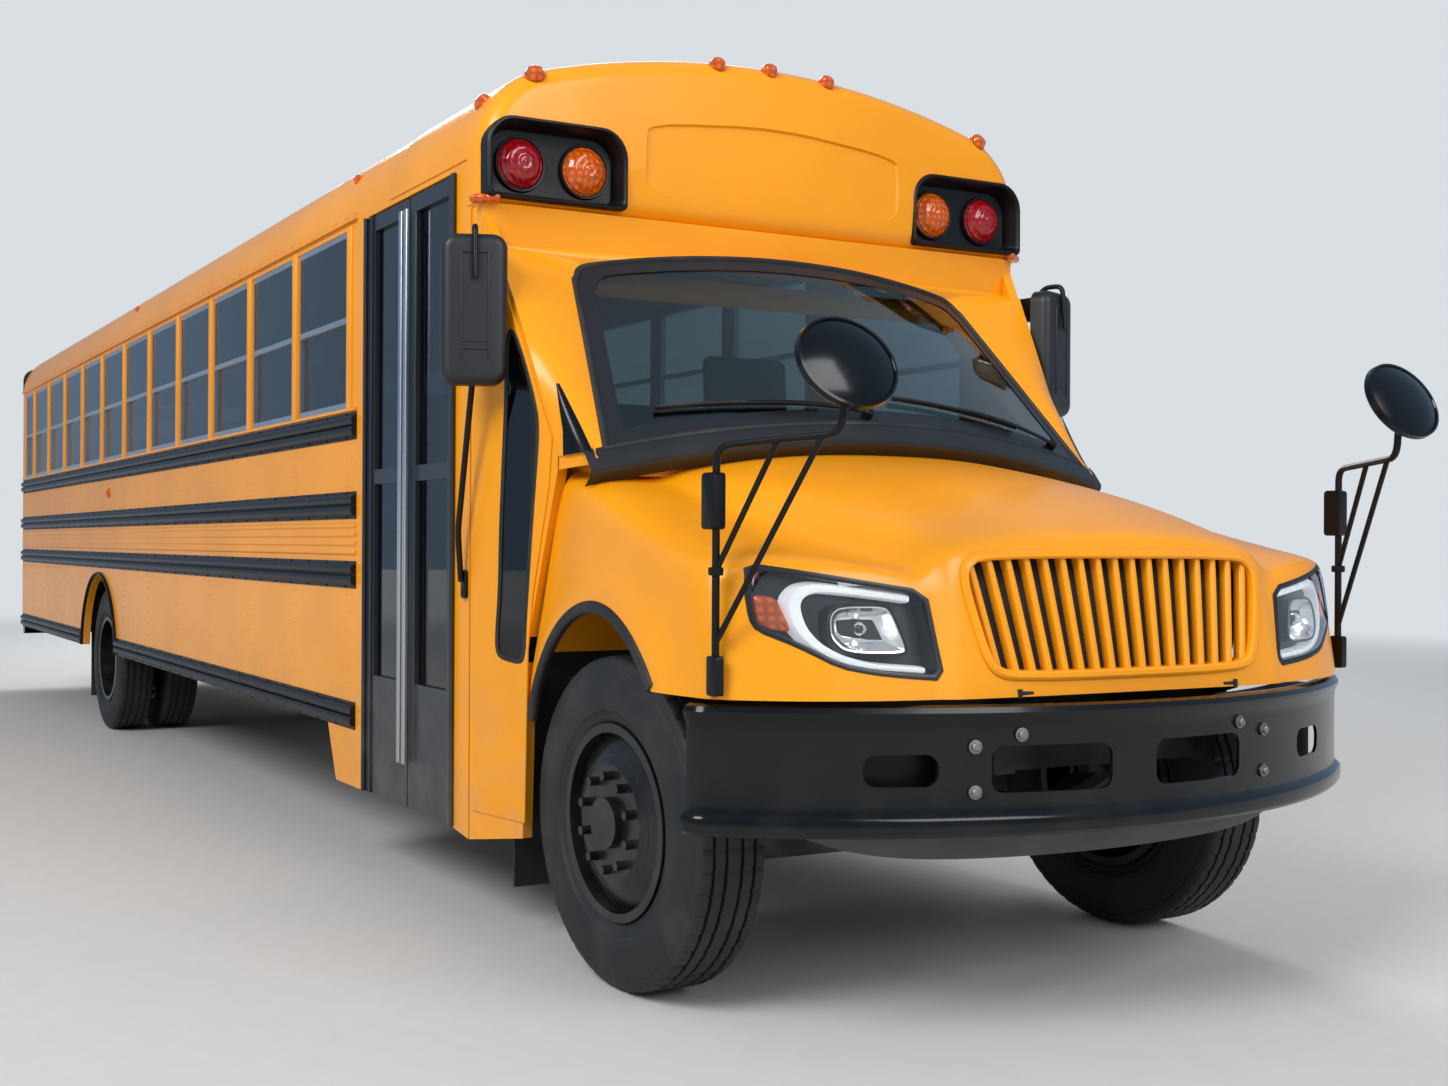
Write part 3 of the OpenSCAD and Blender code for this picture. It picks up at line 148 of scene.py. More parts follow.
# %% [markdown]
# ## Shader maths
# A small class stands for a value in a material, and Python's operators on it add Math nodes.
# One method makes any other node. Each finish below is then a few lines of plain arithmetic.

# %% Shader expressions
class Value:
    """A socket of a material; +, -, *, / and comparisons on it add Math nodes."""

    def __init__(self, paint, socket):
        self.paint = paint
        self.socket = socket

    def _math(self, operation, first, second):
        return self.paint.node("Math", dict(operation=operation), {0: first, 1: second})

    def __add__(self, other): return self._math("ADD", self, other)
    def __radd__(self, other): return self._math("ADD", other, self)
    def __sub__(self, other): return self._math("SUBTRACT", self, other)
    def __rsub__(self, other): return self._math("SUBTRACT", other, self)
    def __mul__(self, other): return self._math("MULTIPLY", self, other)
    def __rmul__(self, other): return self._math("MULTIPLY", other, self)
    def __truediv__(self, other): return self._math("DIVIDE", self, other)
    def __gt__(self, other): return self._math("GREATER_THAN", self, other)
    def __lt__(self, other): return self._math("LESS_THAN", self, other)
    def sine(self): return self._math("SINE", self, 0.0)

    def between(self, low, high):
        """0 below low, 1 above high and smooth between them."""
        return self.paint.node("MapRange", dict(interpolation_type="SMOOTHSTEP", clamp=True),
                               {"Value": self, "From Min": low, "From Max": high})


class Paint:
    """One material: a Principled shader, with helpers that add nodes in front of it."""

    def __init__(self, name):
        self.material = bpy.data.materials.new(name)
        self.material.use_nodes = True
        self.tree = self.material.node_tree
        self.shader = self.tree.nodes["Principled BSDF"]

    def node(self, kind, settings, inputs, output=0):
        """A shader node of a kind: its settings first, then the values or links of its inputs."""
        made = self.tree.nodes.new("ShaderNode" + kind)
        for key, value in settings.items():
            setattr(made, key, value)
        for key, value in inputs.items():
            if isinstance(value, Value):
                self.tree.links.new(value.socket, made.inputs[key])
            else:
                made.inputs[key].default_value = value
        return Value(self, made.outputs[output])

    def set(self, **sockets):
        """Sets the shader's sockets; Base_Color stands for Base Color."""
        for key, value in sockets.items():
            socket = self.shader.inputs[key.replace("_", " ")]
            if isinstance(value, Value):
                self.tree.links.new(value.socket, socket)
            else:
                socket.default_value = value
        return self

    def place(self):
        """Where a point is on the object, in metres, as a vector."""
        return self.node("TexCoord", {}, {}, "Object")

    def axes(self):
        """X, Y and Z of the object's own coordinates, as three values."""
        split = self.tree.nodes.new("ShaderNodeSeparateXYZ")
        self.tree.links.new(self.place().socket, split.inputs[0])
        return [Value(self, split.outputs[i]) for i in range(3)]

    def noise(self, scale, detail=3.0, roughness=0.55, stretch=(1.0, 1.0, 1.0)):
        """Soft noise between 0 and 1, scale blobs to the metre, stretched along an axis."""
        mapped = self.node("Mapping", {}, {"Vector": self.place(), "Scale": stretch})
        return self.node("TexNoise", {}, {"Vector": mapped, "Scale": scale, "Detail": detail,
                                          "Roughness": roughness})

    def blend(self, low, high, factor):
        """A colour between low and high."""
        made = self.tree.nodes.new("ShaderNodeMix")
        made.data_type = "RGBA"
        for socket, value in ((made.inputs[0], factor), (made.inputs[6], low), (made.inputs[7], high)):
            if isinstance(value, Value):
                self.tree.links.new(value.socket, socket)
            else:
                socket.default_value = value if isinstance(value, float) else (*value, 1.0)
        return Value(self, made.outputs[2])

    def bump(self, height, strength, distance):
        """Shades the surface as if height, from 0 to 1, stood distance metres proud."""
        normal = self.node("Bump", {}, {"Height": height, "Strength": strength, "Distance": distance})
        return self.set(Normal=normal)


# %% [markdown]
# ## Paint
# School bus enamel is a thick gloss coat: it has a faint orange-peel ripple, small changes of
# tone from panel to panel, and a film of road dust that thickens towards the skirt.

# %% Enamel paints
def enamel(name, colour, roughness=0.24, dust=0.35, coat=0.3, gloss=0.5):
    """Gloss paint with orange peel, and dust that fades out above knee height."""
    paint = Paint(name)
    x, y, z = paint.axes()
    tone = paint.noise(1.3, 2.0)
    deep = tuple(0.90 * c for c in colour)
    base = paint.blend(deep, colour, tone.between(0.3, 0.7))
    film = (1.0 - z.between(0.35, 1.1)) * paint.noise(7.0, 5.0).between(0.35, 0.75) * dust
    paint.set(Base_Color=paint.blend(base, (0.36, 0.31, 0.25), film),
              Roughness=paint.noise(22.0, 4.0) * 0.10 + roughness + film * 0.4,
              Coat_Roughness=0.06, Coat_Weight=coat, Specular_IOR_Level=gloss)
    paint.bump(paint.noise(90.0, 0.0), 0.04, 0.0003)
    return paint.material


YELLOW = (0.90, 0.335, 0.004)
yellow = enamel("school_yellow", YELLOW, 0.27, 0.30, 0.10, 0.35)
roof_white = enamel("roof_white", (0.60, 0.62, 0.63), 0.36, 0.0, 0.1)
door_grey = enamel("door_grey", (0.018, 0.021, 0.026), 0.32, 0.15, 0.2, 0.4)
stop_red = enamel("stop_red", (0.50, 0.010, 0.012), 0.25, 0.0)
gloss_black = enamel("gloss_black", (0.0024, 0.0024, 0.0028), 0.14, 0.03, 0.15, 0.25)
satin_black = enamel("satin_black", (0.0045, 0.0045, 0.0050), 0.32, 0.04, 0.0, 0.25)
chassis_black = enamel("chassis_black", (0.010, 0.010, 0.011), 0.55, 0.35, 0.0)
wheel_black = enamel("wheel_black", (0.0045, 0.0045, 0.005), 0.26, 0.06, 0.1, 0.35)

# %% [markdown]
# ## Metals, rubbers and plastics
# Bare metals get a fine brushed or cast grain in their roughness. Rubber is never quite black:
# it is dulled by dust in patches. Moulded plastic has a pebbled grain a millimetre wide.

# %% Metals, rubbers and plastics
def metal(name, colour, roughness, grain, stretch=(1.0, 1.0, 1.0)):
    """Bare metal with a grain in its roughness and a faint change of tone."""
    paint = Paint(name)
    streak = paint.noise(grain, 4.0, 0.6, stretch)
    paint.set(Base_Color=paint.blend(tuple(0.82 * c for c in colour), colour, streak), Metallic=1.0,
              Roughness=streak * 0.22 + roughness)
    paint.bump(streak, 0.12, 0.0008)
    return paint.material


def moulded(name, colour, roughness, grain, depth, dust=0.15):
    """Moulded plastic or rubber: a pebbled grain, and pale dust in patches."""
    paint = Paint(name)
    pebble = paint.noise(grain, 2.0)
    patch = paint.noise(5.0, 5.0).between(0.42, 0.78) * dust
    paint.set(Base_Color=paint.blend(colour, (0.20, 0.18, 0.155), patch),
              Roughness=pebble * 0.12 + roughness + patch * 0.2)
    paint.bump(pebble, 0.35, depth)
    return paint.material


alloy = metal("alloy", (0.62, 0.63, 0.65), 0.24, 60.0, (0.05, 1.0, 1.0))
dull_steel = metal("dull_steel", (0.30, 0.285, 0.27), 0.42, 30.0)
dark_casting = metal("dark_casting", (0.085, 0.085, 0.09), 0.55, 120.0)
chrome = metal("chrome", (0.86, 0.87, 0.88), 0.04, 40.0)
tyre_rubber = moulded("tyre_rubber", (0.0085, 0.0085, 0.0092), 0.58, 260.0, 0.0006, 0.10)
soft_rubber = moulded("soft_rubber", (0.0080, 0.0080, 0.0086), 0.55, 300.0, 0.0004)
mirror_plastic = moulded("mirror_plastic", (0.0100, 0.0100, 0.0110), 0.40, 620.0, 0.0004, 0.03)
dash_plastic = moulded("dash_plastic", (0.055, 0.055, 0.060), 0.55, 500.0, 0.0005)
grille_black = moulded("grille_black", (0.007, 0.007, 0.008), 0.60, 90.0, 0.0008)
floor_rubber = moulded("floor_rubber", (0.040, 0.041, 0.043), 0.60, 150.0, 0.0008)

# %% [markdown]
# ## Glass and lenses
# The side panes are darkly tinted and the windshield only lightly, so the benches can be seen
# through it. A lamp's lens is coloured plastic with fine ribs moulded inside, with painted shade in the troughs
# between them.

# %% Glass and lenses
def pane_glass(name, tint, roughness=0.015):
    """Tinted sheet glass, with a film of dust that is barely there."""
    paint = Paint(name)
    film = paint.noise(3.0, 5.0).between(0.45, 0.85)
    paint.set(Base_Color=paint.blend(tint, tuple(0.93 * c for c in tint), film),
              Roughness=film * 0.03 + roughness, Transmission_Weight=1.0, IOR=1.45)
    return paint.material


def lens_plastic(name, colour, glow, ribs=260.0):
    """A coloured lens with upright ribs, and painted shade that darkens the troughs between them; a little emission
    stands for light inside it.
    """
    paint = Paint(name)
    x, y, z = paint.axes()
    rib = (y * ribs).sine() * 0.5 + 0.5
    cell = (z * ribs).sine() * 0.5 + 0.5
    # Painted shade: the colour falls to deep, 45 percent of the lens colour, in the troughs between the ribs.
    deep = tuple(0.45 * c for c in colour)
    paint.set(Base_Color=paint.blend(deep, colour, rib * cell), Roughness=rib * 0.06 + 0.08,
              Coat_Weight=0.25, Emission_Color=(*colour, 1.0), Emission_Strength=glow)
    paint.bump(rib * cell, 0.5, 0.0012)
    return paint.material


side_tint = pane_glass("side_tint", (0.11, 0.145, 0.165))
windshield_tint = pane_glass("windshield_tint", (0.42, 0.54, 0.56))
clear_lens = pane_glass("clear_lens", (0.95, 0.96, 0.97))
red_lens = lens_plastic("red_lens", (0.42, 0.005, 0.009), 0.08)
amber_lens = lens_plastic("amber_lens", (0.80, 0.13, 0.003), 0.10)

# %% [markdown]
# ## Seats
# Bench vinyl has a leather-like grain and a sewn look; the driver's seat is woven cloth.

# %% Seat covers
def vinyl(name, colour):
    """Pebbled seat vinyl, glossier where it is rubbed."""
    paint = Paint(name)
    grain = paint.node("TexVoronoi", {}, {"Vector": paint.place(), "Scale": 260.0})
    rubbed = paint.noise(4.0, 3.0)
    paint.set(Base_Color=paint.blend(tuple(0.7 * c for c in colour), colour, rubbed),
              Roughness=rubbed * 0.2 + 0.38)
    paint.bump(grain, 0.4, 0.0008)
    return paint.material


def woven(name, colour, threads=900.0):
    """Plain weave: two sets of crossing threads."""
    paint = Paint(name)
    x, y, z = paint.axes()
    weave = ((x + z) * threads).sine() * (y * threads).sine() * 0.5 + 0.5
    paint.set(Base_Color=paint.blend(tuple(0.6 * c for c in colour), colour, weave), Roughness=0.85)
    paint.bump(weave, 0.5, 0.0006)
    return paint.material


seat_vinyl = vinyl("seat_vinyl", (0.075, 0.060, 0.050))
seat_cloth = woven("seat_cloth", (0.060, 0.062, 0.070))

# %% [markdown]
# ## Shapes from formulas
# Every new piece is a surface worked out with numpy. A shape is a grid of points, a profile
# carried along a path, or a flat outline with a rounded edge. Several such surfaces are
# collected in one Shape, which becomes one mesh, because a maker also sees them as one part.

# %% Collecting surfaces into a piece
def grid_faces(rows, columns, close_rows, close_columns):
    """Quads of a grid whose points are numbered row by row; a closed way joins up with its start."""
    r = np.arange(rows if close_rows else rows - 1)[:, None]
    c = np.arange(columns if close_columns else columns - 1)[None, :]
    below, right = (r + 1) % rows, (c + 1) % columns
    corners = (r * columns + c, r * columns + right, below * columns + right, below * columns + c)
    return np.stack(corners, axis=-1).reshape(-1, 4)


class Shape:
    """Surfaces that will be one mesh, with the faces pointing out."""

    def __init__(self):
        self.points, self.faces, self.total = [], [], 0

    def add(self, points, faces):
        self.points.append(np.asarray(points, float).reshape(-1, 3))
        self.faces += [tuple(int(i) + self.total for i in face) for face in faces]
        self.total += len(self.points[-1])
        return self

    def grid(self, points, close_rows=False, close_columns=False, caps=False):
        """A grid of points [row, column]; caps closes the first and last row with one face each."""
        rows, columns = points.shape[:2]
        faces = [tuple(face) for face in grid_faces(rows, columns, close_rows, close_columns)]
        if caps:
            last = (rows - 1) * columns
            faces += [tuple(range(columns))[::-1], tuple(range(last, last + columns))]
        return self.add(points, faces)

    def mirrored(self):
        """Adds the same surfaces on the other side of the bus."""
        points = np.concatenate(self.points) * (1, -1, 1)
        return self.add(points, [face[::-1] for face in self.faces])

    def make(self, name, paint, body, slot, sharp=32.0, merge=0.0):
        """One mesh object of all surfaces, riding on a body, with edges sharper than sharp kept."""
        mesh = bpy.data.meshes.new(name)
        mesh.from_pydata(np.concatenate(self.points).tolist(), [], self.faces)
        if merge:
            welded = bmesh.new()
            welded.from_mesh(mesh)
            bmesh.ops.remove_doubles(welded, verts=welded.verts, dist=merge)
            welded.to_mesh(mesh)
            welded.free()
        mesh.materials.append(paint)
        mesh.shade_smooth()
        mesh.set_sharp_from_angle(angle=radians(sharp))
        piece = bpy.data.objects.new(name, mesh)
        scene.collection.objects.link(piece)
        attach(piece, body)
        return piece


# %% Profiles, plates, tubes and turned shapes
def round_outline(width, height, radius, steps=6):
    """A rectangle with round corners, anticlockwise, centred on the origin, as (n, 2) points."""
    a = np.linspace(0, pi / 2, steps + 1)
    corner = radius * np.stack((np.cos(a), np.sin(a)), axis=1)
    turns = []
    for k, (sx, sy) in enumerate(((1, 1), (-1, 1), (-1, -1), (1, -1))):
        c, s = cos(k * pi / 2), sin(k * pi / 2)
        spun = corner @ np.array(((c, s), (-s, c)))
        turns.append(spun + (sx * (width / 2 - radius), sy * (height / 2 - radius)))
    return np.concatenate(turns)


def circle_outline(radius, steps=32, squeeze=1.0):
    """An ellipse as (n, 2) points; squeeze is its height over its width."""
    a = np.linspace(0, 2 * pi, steps, endpoint=False)
    return np.stack((radius * np.cos(a), squeeze * radius * np.sin(a)), axis=1)


def inset(outline, distance):
    """An anticlockwise outline moved inwards by distance along each corner's own normal."""
    before, after = np.roll(outline, 1, axis=0), np.roll(outline, -1, axis=0)
    first, second = outline - before, after - outline
    first /= np.linalg.norm(first, axis=1, keepdims=True) + 1e-12
    second /= np.linalg.norm(second, axis=1, keepdims=True) + 1e-12
    way = first + second
    way /= np.linalg.norm(way, axis=1, keepdims=True) + 1e-12
    lean = np.clip(np.sum(way * second, axis=1), 0.4, 1.0)
    return outline + distance / lean[:, None] * np.stack((-way[:, 1], way[:, 0]), axis=1)


def axes_from(origin, right, up):
    """A flat frame: a function that puts (right, up, out) coordinates in space; out = right x up."""
    right, up = np.asarray(right, float), np.asarray(up, float)
    right, up = right / np.linalg.norm(right), up / np.linalg.norm(up)
    out = np.cross(right, up)
    return lambda p: np.asarray(origin) + p[..., :1] * right + p[..., 1:2] * up + p[..., 2:3] * out


def plate(shape, outline, depth, edge, frame, back=0.0, crown=0.0, steps=4):
    """A plate of an outline from back to depth, whose front edge is a quarter round of radius edge.

    Row k of the quarter is set in by edge * (1 - cos a) and stands at depth - edge * (1 - sin a);
    a crown lifts the middle of the front face by a paraboloid.
    """
    rows = [np.column_stack((outline, np.full(len(outline), back)))]
    for a in np.linspace(0, pi / 2, steps + 1):
        line = inset(outline, edge * (1 - cos(a)))
        rows.append(np.column_stack((line, np.full(len(line), depth - edge * (1 - sin(a))))))
    middle, last = outline.mean(axis=0), rows[-1]
    if crown:
        for f in (0.75, 0.45, 0.15):
            line = middle + (last[:, :2] - middle) * f
            rows.append(np.column_stack((line, np.full(len(line), depth + crown * (1 - f * f)))))
    return shape.grid(frame(np.array(rows)), close_columns=True, caps=True)


def smooth_path(points, per_span=8):
    """A Catmull-Rom curve through the points, per_span points to each span."""
    p = np.asarray(points, float)
    p = np.concatenate(([2 * p[0] - p[1]], p, [2 * p[-1] - p[-2]]))
    t = np.linspace(0, 1, per_span, endpoint=False)[:, None]
    spans = [0.5 * (2 * p[i] + (p[i + 1] - p[i - 1]) * t
                    + (2 * p[i - 1] - 5 * p[i] + 4 * p[i + 1] - p[i + 2]) * t ** 2
                    + (3 * p[i] - p[i - 1] - 3 * p[i + 1] + p[i + 2]) * t ** 3)
             for i in range(1, len(p) - 2)]
    return np.concatenate(spans + [p[-2:-1]])


def bent_path(points, radius, steps=6):
    """Straight runs joined by round bends: each corner becomes a quadratic arc that starts radius before it."""
    p = [np.asarray(q, float) for q in points]
    line = [p[0]]
    for before, corner, after in zip(p, p[1:], p[2:]):
        a = corner + (before - corner) / np.linalg.norm(before - corner) * radius
        b = corner + (after - corner) / np.linalg.norm(after - corner) * radius
        line += [(1 - t) ** 2 * a + 2 * t * (1 - t) * corner + t * t * b for t in np.linspace(0, 1, steps)]
    return np.array(line + [p[-1]])


def carry(shape, profile, path, up, closed=False):
    """A closed profile (side, up) carried along a path; side is the path's direction x up."""
    path, up = np.asarray(path, float), np.asarray(up, float)
    if closed:
        way = np.roll(path, -1, axis=0) - np.roll(path, 1, axis=0)
    else:
        way = np.gradient(path, axis=0)
    way /= np.linalg.norm(way, axis=1, keepdims=True)
    side = np.cross(way, up)
    side /= np.linalg.norm(side, axis=1, keepdims=True)
    rise = np.cross(side, way)
    rows = path[:, None] + profile[None, :, :1] * side[:, None] + profile[None, :, 1:] * rise[:, None]
    return shape.grid(rows, close_rows=closed, close_columns=True, caps=not closed)


def tube(shape, path, radius, sides=12):
    """A round tube along a path; each ring is turned from the last by the least amount."""
    path = np.asarray(path, float)
    way = np.gradient(path, axis=0)
    way /= np.linalg.norm(way, axis=1, keepdims=True)
    side = np.cross(way[0], (0.31, 0.52, 0.79))
    rings = []
    angles = np.linspace(0, 2 * pi, sides, endpoint=False)
    for point, forward in zip(path, way):
        side = side - forward * side.dot(forward)
        side /= np.linalg.norm(side)
        rise = np.cross(side, forward)
        rings.append(point + radius * (np.outer(np.cos(angles), side) - np.outer(np.sin(angles), rise)))
    return shape.grid(np.array(rings), close_columns=True, caps=True)


def turned(shape, profile, centre, axis, steps=64):
    """A closed profile of (radius, height) turned about an axis through centre."""
    axis = np.asarray(axis, float) / np.linalg.norm(axis)
    first = np.cross(axis, (0.0, 0.0, 1.0) if abs(axis[2]) < 0.9 else (1.0, 0.0, 0.0))
    first /= np.linalg.norm(first)
    second = np.cross(axis, first)
    a = np.linspace(0, 2 * pi, steps, endpoint=False)
    spoke = np.outer(np.cos(a), first) + np.outer(np.sin(a), second)
    profile = np.asarray(profile, float)
    rows = np.asarray(centre) + profile[None, :, :1] * spoke[:, None] + profile[None, :, 1:] * axis
    return shape.grid(rows, close_rows=True, close_columns=True)


def apply_modifiers(piece, sharp=28.0):
    """Makes the modifiers' result the piece's own mesh."""
    scene.view_layers[0].update()
    mesh = bpy.data.meshes.new_from_object(piece.evaluated_get(bpy.context.evaluated_depsgraph_get()))
    piece.modifiers.clear()
    old, piece.data = piece.data, mesh
    bpy.data.meshes.remove(old)
    mesh.shade_smooth()
    mesh.set_sharp_from_angle(angle=radians(sharp))


def walls(piece, thickness):
    """Gives an open surface a wall of a thickness, on its inner side."""
    solid = piece.modifiers.new("walls", "SOLIDIFY")
    solid.thickness, solid.offset = thickness, -1.0
    apply_modifiers(piece)


def cut(piece, cutter_shape):
    """Cuts the cutters' closed surfaces out of a piece, and keeps crisp edges crisp."""
    cutter = cutter_shape.make("cutter", yellow, "body", "frame_black")
    boolean = piece.modifiers.new("cut", "BOOLEAN")
    boolean.object, boolean.solver = cutter, "EXACT"
    apply_modifiers(piece)
    bpy.data.objects.remove(cutter)
    return piece
# %% [markdown]
# ## Stations
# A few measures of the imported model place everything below: where the axles are, how wide the
# body is and where it starts and ends. A station is a distance along the bus.

# %% Stations
def middle(node):
    """The centre of a node's box."""
    low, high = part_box(node)
    return (np.array(low) + np.array(high)) / 2


AXLE_X, FRONT_TYRE_Y, AXLE_Z = middle("front_tyre_left")
REAR_AXLE_X = float(middle("rear_tyres_left")[0])
NOSE_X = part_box("front_bumper")[1][0]
HALF_W = -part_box("side_wall_right")[0][1]
BODY_FRONT_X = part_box("side_wall_left")[1][0]
REAR_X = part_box("rear_wall")[0][0]
CAP_FRONT_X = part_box("front_cap")[1][0]
SKIRT_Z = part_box("rear_wall")[0][2]
print("front axle", AXLE_X, "rear axle", REAR_AXLE_X, "half width", HALF_W)

# %% [markdown]
# ## Hood and fenders
# The hood, both fenders and the nose are one big moulding that tips forward. Its shape is
# easiest to say face by face: how high the top is, how far out the side is and how far forward
# the nose is. A point is inside where it is below, within and behind all three. The three
# distances are joined by a soft maximum, k * log(sum of exp(distance / k)), which rounds the
# edges between the faces. Rays from inside the hood then find where that function is zero.

# %% The hood's faces
def soft_max(distances, k):
    """A maximum whose edges are rounded by about 3 k."""
    distances = np.stack(np.broadcast_arrays(*distances))
    top = distances.max(axis=0)
    return top + k * np.log(np.exp((distances - top) / k).sum(axis=0))


CROWN = np.polyfit((-0.55, -0.37, 0.0, 0.4, 0.65, 0.80, 0.93), (1.725, 1.705, 1.65, 1.56, 1.485, 1.435, 1.385),
                   3)
SHOULDER = np.polyfit((-0.55, -0.37, 0.0, 0.4, 0.65, 0.85), (1.60, 1.56, 1.465, 1.365, 1.305, 1.27), 3)
SIDE = np.polyfit((-0.57, -0.37, 0.0, 0.35, 0.65, 0.9), (1.118, 1.122, 1.185, 1.222, 1.232, 1.235), 3)
ARCH_R, ARCH_Z = 0.56, AXLE_Z + 0.095


def hood_top(x, y):
    """Height of the top: a crowned middle panel that steps down to the fender tops."""
    s, y = x - AXLE_X, np.abs(y)
    crease = 0.80 - 0.20 * s
    panel = np.polyval(CROWN, s) - 0.075 * (y / 0.75) ** 2.5
    panel = panel - 1.1 * 0.03 * np.log1p(np.exp((y - crease) / 0.03))
    fender = np.polyval(SHOULDER, s) + 0.045 - 0.42 * (y - 0.92) ** 2
    return soft_max((panel, fender), 0.016)


def hood_side(x, z):
    """Half width of the fenders, which flare out round the wheel arch."""
    s = x - AXLE_X
    ring = np.hypot(s, z - ARCH_Z) - ARCH_R
    flare = 0.030 / (1.0 + np.exp((ring - 0.10) / 0.028))
    return np.polyval(SIDE, np.minimum(s, 0.75)) - 0.09 * np.maximum(z - 1.05, 0.0) ** 1.5 + flare


def hood_front(y, z):
    """How far forward the nose is: swept back towards the corners, with a low step round its middle panel."""
    y = np.abs(y)
    step = 0.014 / (1.0 + np.exp((y - 0.64 + 0.10 * (z - 1.0)) / 0.007))
    return AXLE_X + 0.958 - 0.165 * (z - 1.009) - 0.1139 * y ** 4.19 + step


def hood_field(x, y, z, thinner=0.0):
    """Below zero inside the hood; thinner moves the whole surface in."""
    upper = soft_max((z - hood_top(x, y), np.abs(y) - hood_side(x, z)), 0.034)
    return soft_max((upper, x - hood_front(y, z)), 0.020) + thinner


def hood_surface(rear, thinner, rings, rolls):
    """Points where rays from the hood's middle line leave it.

    The first rings are cut square across the hood from the rear on, which may be one station for
    each roll. The last ones share one origin and tip forward, from across to straight ahead.
    """
    tip_x = AXLE_X + 0.45
    square = rings // 2
    onward = np.concatenate((np.linspace(0, 1, square), np.ones(rings - square)))[:, None]
    origin = rear * (1 - onward) + tip_x * onward + np.zeros((1, rolls))
    tip = np.concatenate((np.zeros(square), np.linspace(0, pi / 2, rings - square + 1)[1:]))
    fine = np.linspace(0, 2 * pi, 2000, endpoint=False)
    density = np.cumsum(1 + 2.5 * np.exp(-((np.sin(fine) - 0.27) / 0.16) ** 2) - 0.8 * (np.sin(fine) < -0.35))
    roll = np.interp(np.arange(rolls) / rolls * density[-1], density, fine)
    tip, roll = tip[:, None], roll[None, :]
    way = np.stack(np.broadcast_arrays(np.sin(tip), np.cos(tip) * np.cos(roll), np.cos(tip) * np.sin(roll)), -1)
    start = np.stack(np.broadcast_arrays(origin, 0 * roll, 1.12 + 0 * roll), -1)
    near, far = np.zeros(way.shape[:2]), np.full(way.shape[:2], 1.9)
    for _ in range(34):
        half = (near + far) / 2
        x, y, z = np.moveaxis(start + half[..., None] * way, -1, 0)
        inside = soft_max((hood_field(x, y, z, thinner), 0.62 - z), 0.004) < 0
        near, far = np.where(inside, half, near), np.where(inside, far, half)
    return start + near[..., None] * way


# %% [markdown]
# The openings are cut afterwards: the wheel arches with a cylinder across both fenders, the
# grille and headlight openings with blocks. The first ring already follows the slanted seam.

# %% Cut the hood
WINDSHIELD_FOOT = np.array((AXLE_X - 0.24, 0.0, 1.665))
SLOPE = radians(42.0)
BOW_R, BOW = 3.4, 3.4 - (3.4 ** 2 - 1.03 ** 2) ** 0.5


def prism(shape, outline, low, high, across=True):
    """A straight block of an anticlockwise outline: (x, z) points carried across, or (x, y) points up."""
    outline = np.asarray(outline, float)[::-1 if across else 1]
    rows = []
    for level in (low, high):
        flat = np.full(len(outline), float(level))
        rows.append(np.column_stack((outline[:, 0], flat, outline[:, 1]) if across
                                    else (outline[:, 0], outline[:, 1], flat)))
    return shape.grid(np.array(rows), close_columns=True, caps=True)


SEAM_Z = (0.70, 1.04, 1.31, 1.65)
SEAM_X = AXLE_X + np.array((-0.575, -0.526, -0.467, -0.389))
seam = AXLE_X - 0.5
for _ in range(3):
    seam = np.interp(hood_surface(seam, 0.0, 5, 200)[0, :, 2], SEAM_Z, SEAM_X)
outer = hood_surface(seam, 0.0, 144, 200)
faces = grid_faces(*outer.shape[:2], False, True)
above = outer.reshape(-1, 3)[:, 2] > 0.66
hood = Shape().add(outer, faces[above[faces].any(axis=1)]).make(
    "hood_and_fenders", yellow, "hood", "school_yellow", merge=1e-5)
walls(hood, 0.016)
cut(hood, prism(Shape(), circle_outline(ARCH_R, 128) + (AXLE_X, ARCH_Z), -1.4, 1.4))
cut(hood, prism(Shape(), ((AXLE_X - 0.9, 0.5), (NOSE_X + 0.1, 0.5), (NOSE_X + 0.1, 0.952), (AXLE_X, 0.952),
                          (AXLE_X, 0.765), (AXLE_X - 0.9, 0.765)), -1.5, 1.5))


def nose_x(y, z):
    """How far forward the nose's real surface is at (y, z), found by halving."""
    near, far = np.full(np.shape(y), AXLE_X + 0.35), np.full(np.shape(y), AXLE_X + 1.2)
    for _ in range(30):
        half = (near + far) / 2
        inside = hood_field(half, y, z) < 0
        near, far = np.where(inside, half, near), np.where(inside, far, half)
    return near


def on_nose(outline, proud=0.0):
    """Points (y, z) laid on the nose, proud of it along X, as (n, 3)."""
    y, z = outline[:, 0], outline[:, 1]
    return np.column_stack((nose_x(y, z) + proud, y, z))


def smooth_outline(points, rounds=2):
    """Rounds an outline's corners by cutting each at a quarter and three quarters of its edges."""
    points = np.asarray(points, float)
    for _ in range(rounds):
        after = np.roll(points, -1, axis=0)
        points = np.stack((0.8 * points + 0.2 * after, 0.2 * points + 0.8 * after), axis=1).reshape(-1, 2)
    return points


def anticlockwise(outline):
    """The outline itself, or reversed if it runs clockwise; the signed area sums x * next y - next x * y."""
    after = np.roll(outline, -1, axis=0)
    area = np.sum(outline[:, 0] * after[:, 1] - after[:, 0] * outline[:, 1])
    return outline[::-1] if area < 0 else outline


def stacked(outline, heights):
    """Copies of a flat outline, one row for each height."""
    return np.array([np.column_stack((outline, np.full(len(outline), height))) for height in heights])


GRILLE = smooth_outline(((-0.44, 0.988), (0.44, 0.988), (0.505, 1.02), (0.560, 1.25), (0.555, 1.300),
                         (0.50, 1.335), (-0.50, 1.335), (-0.555, 1.300), (-0.560, 1.25), (-0.505, 1.02)))
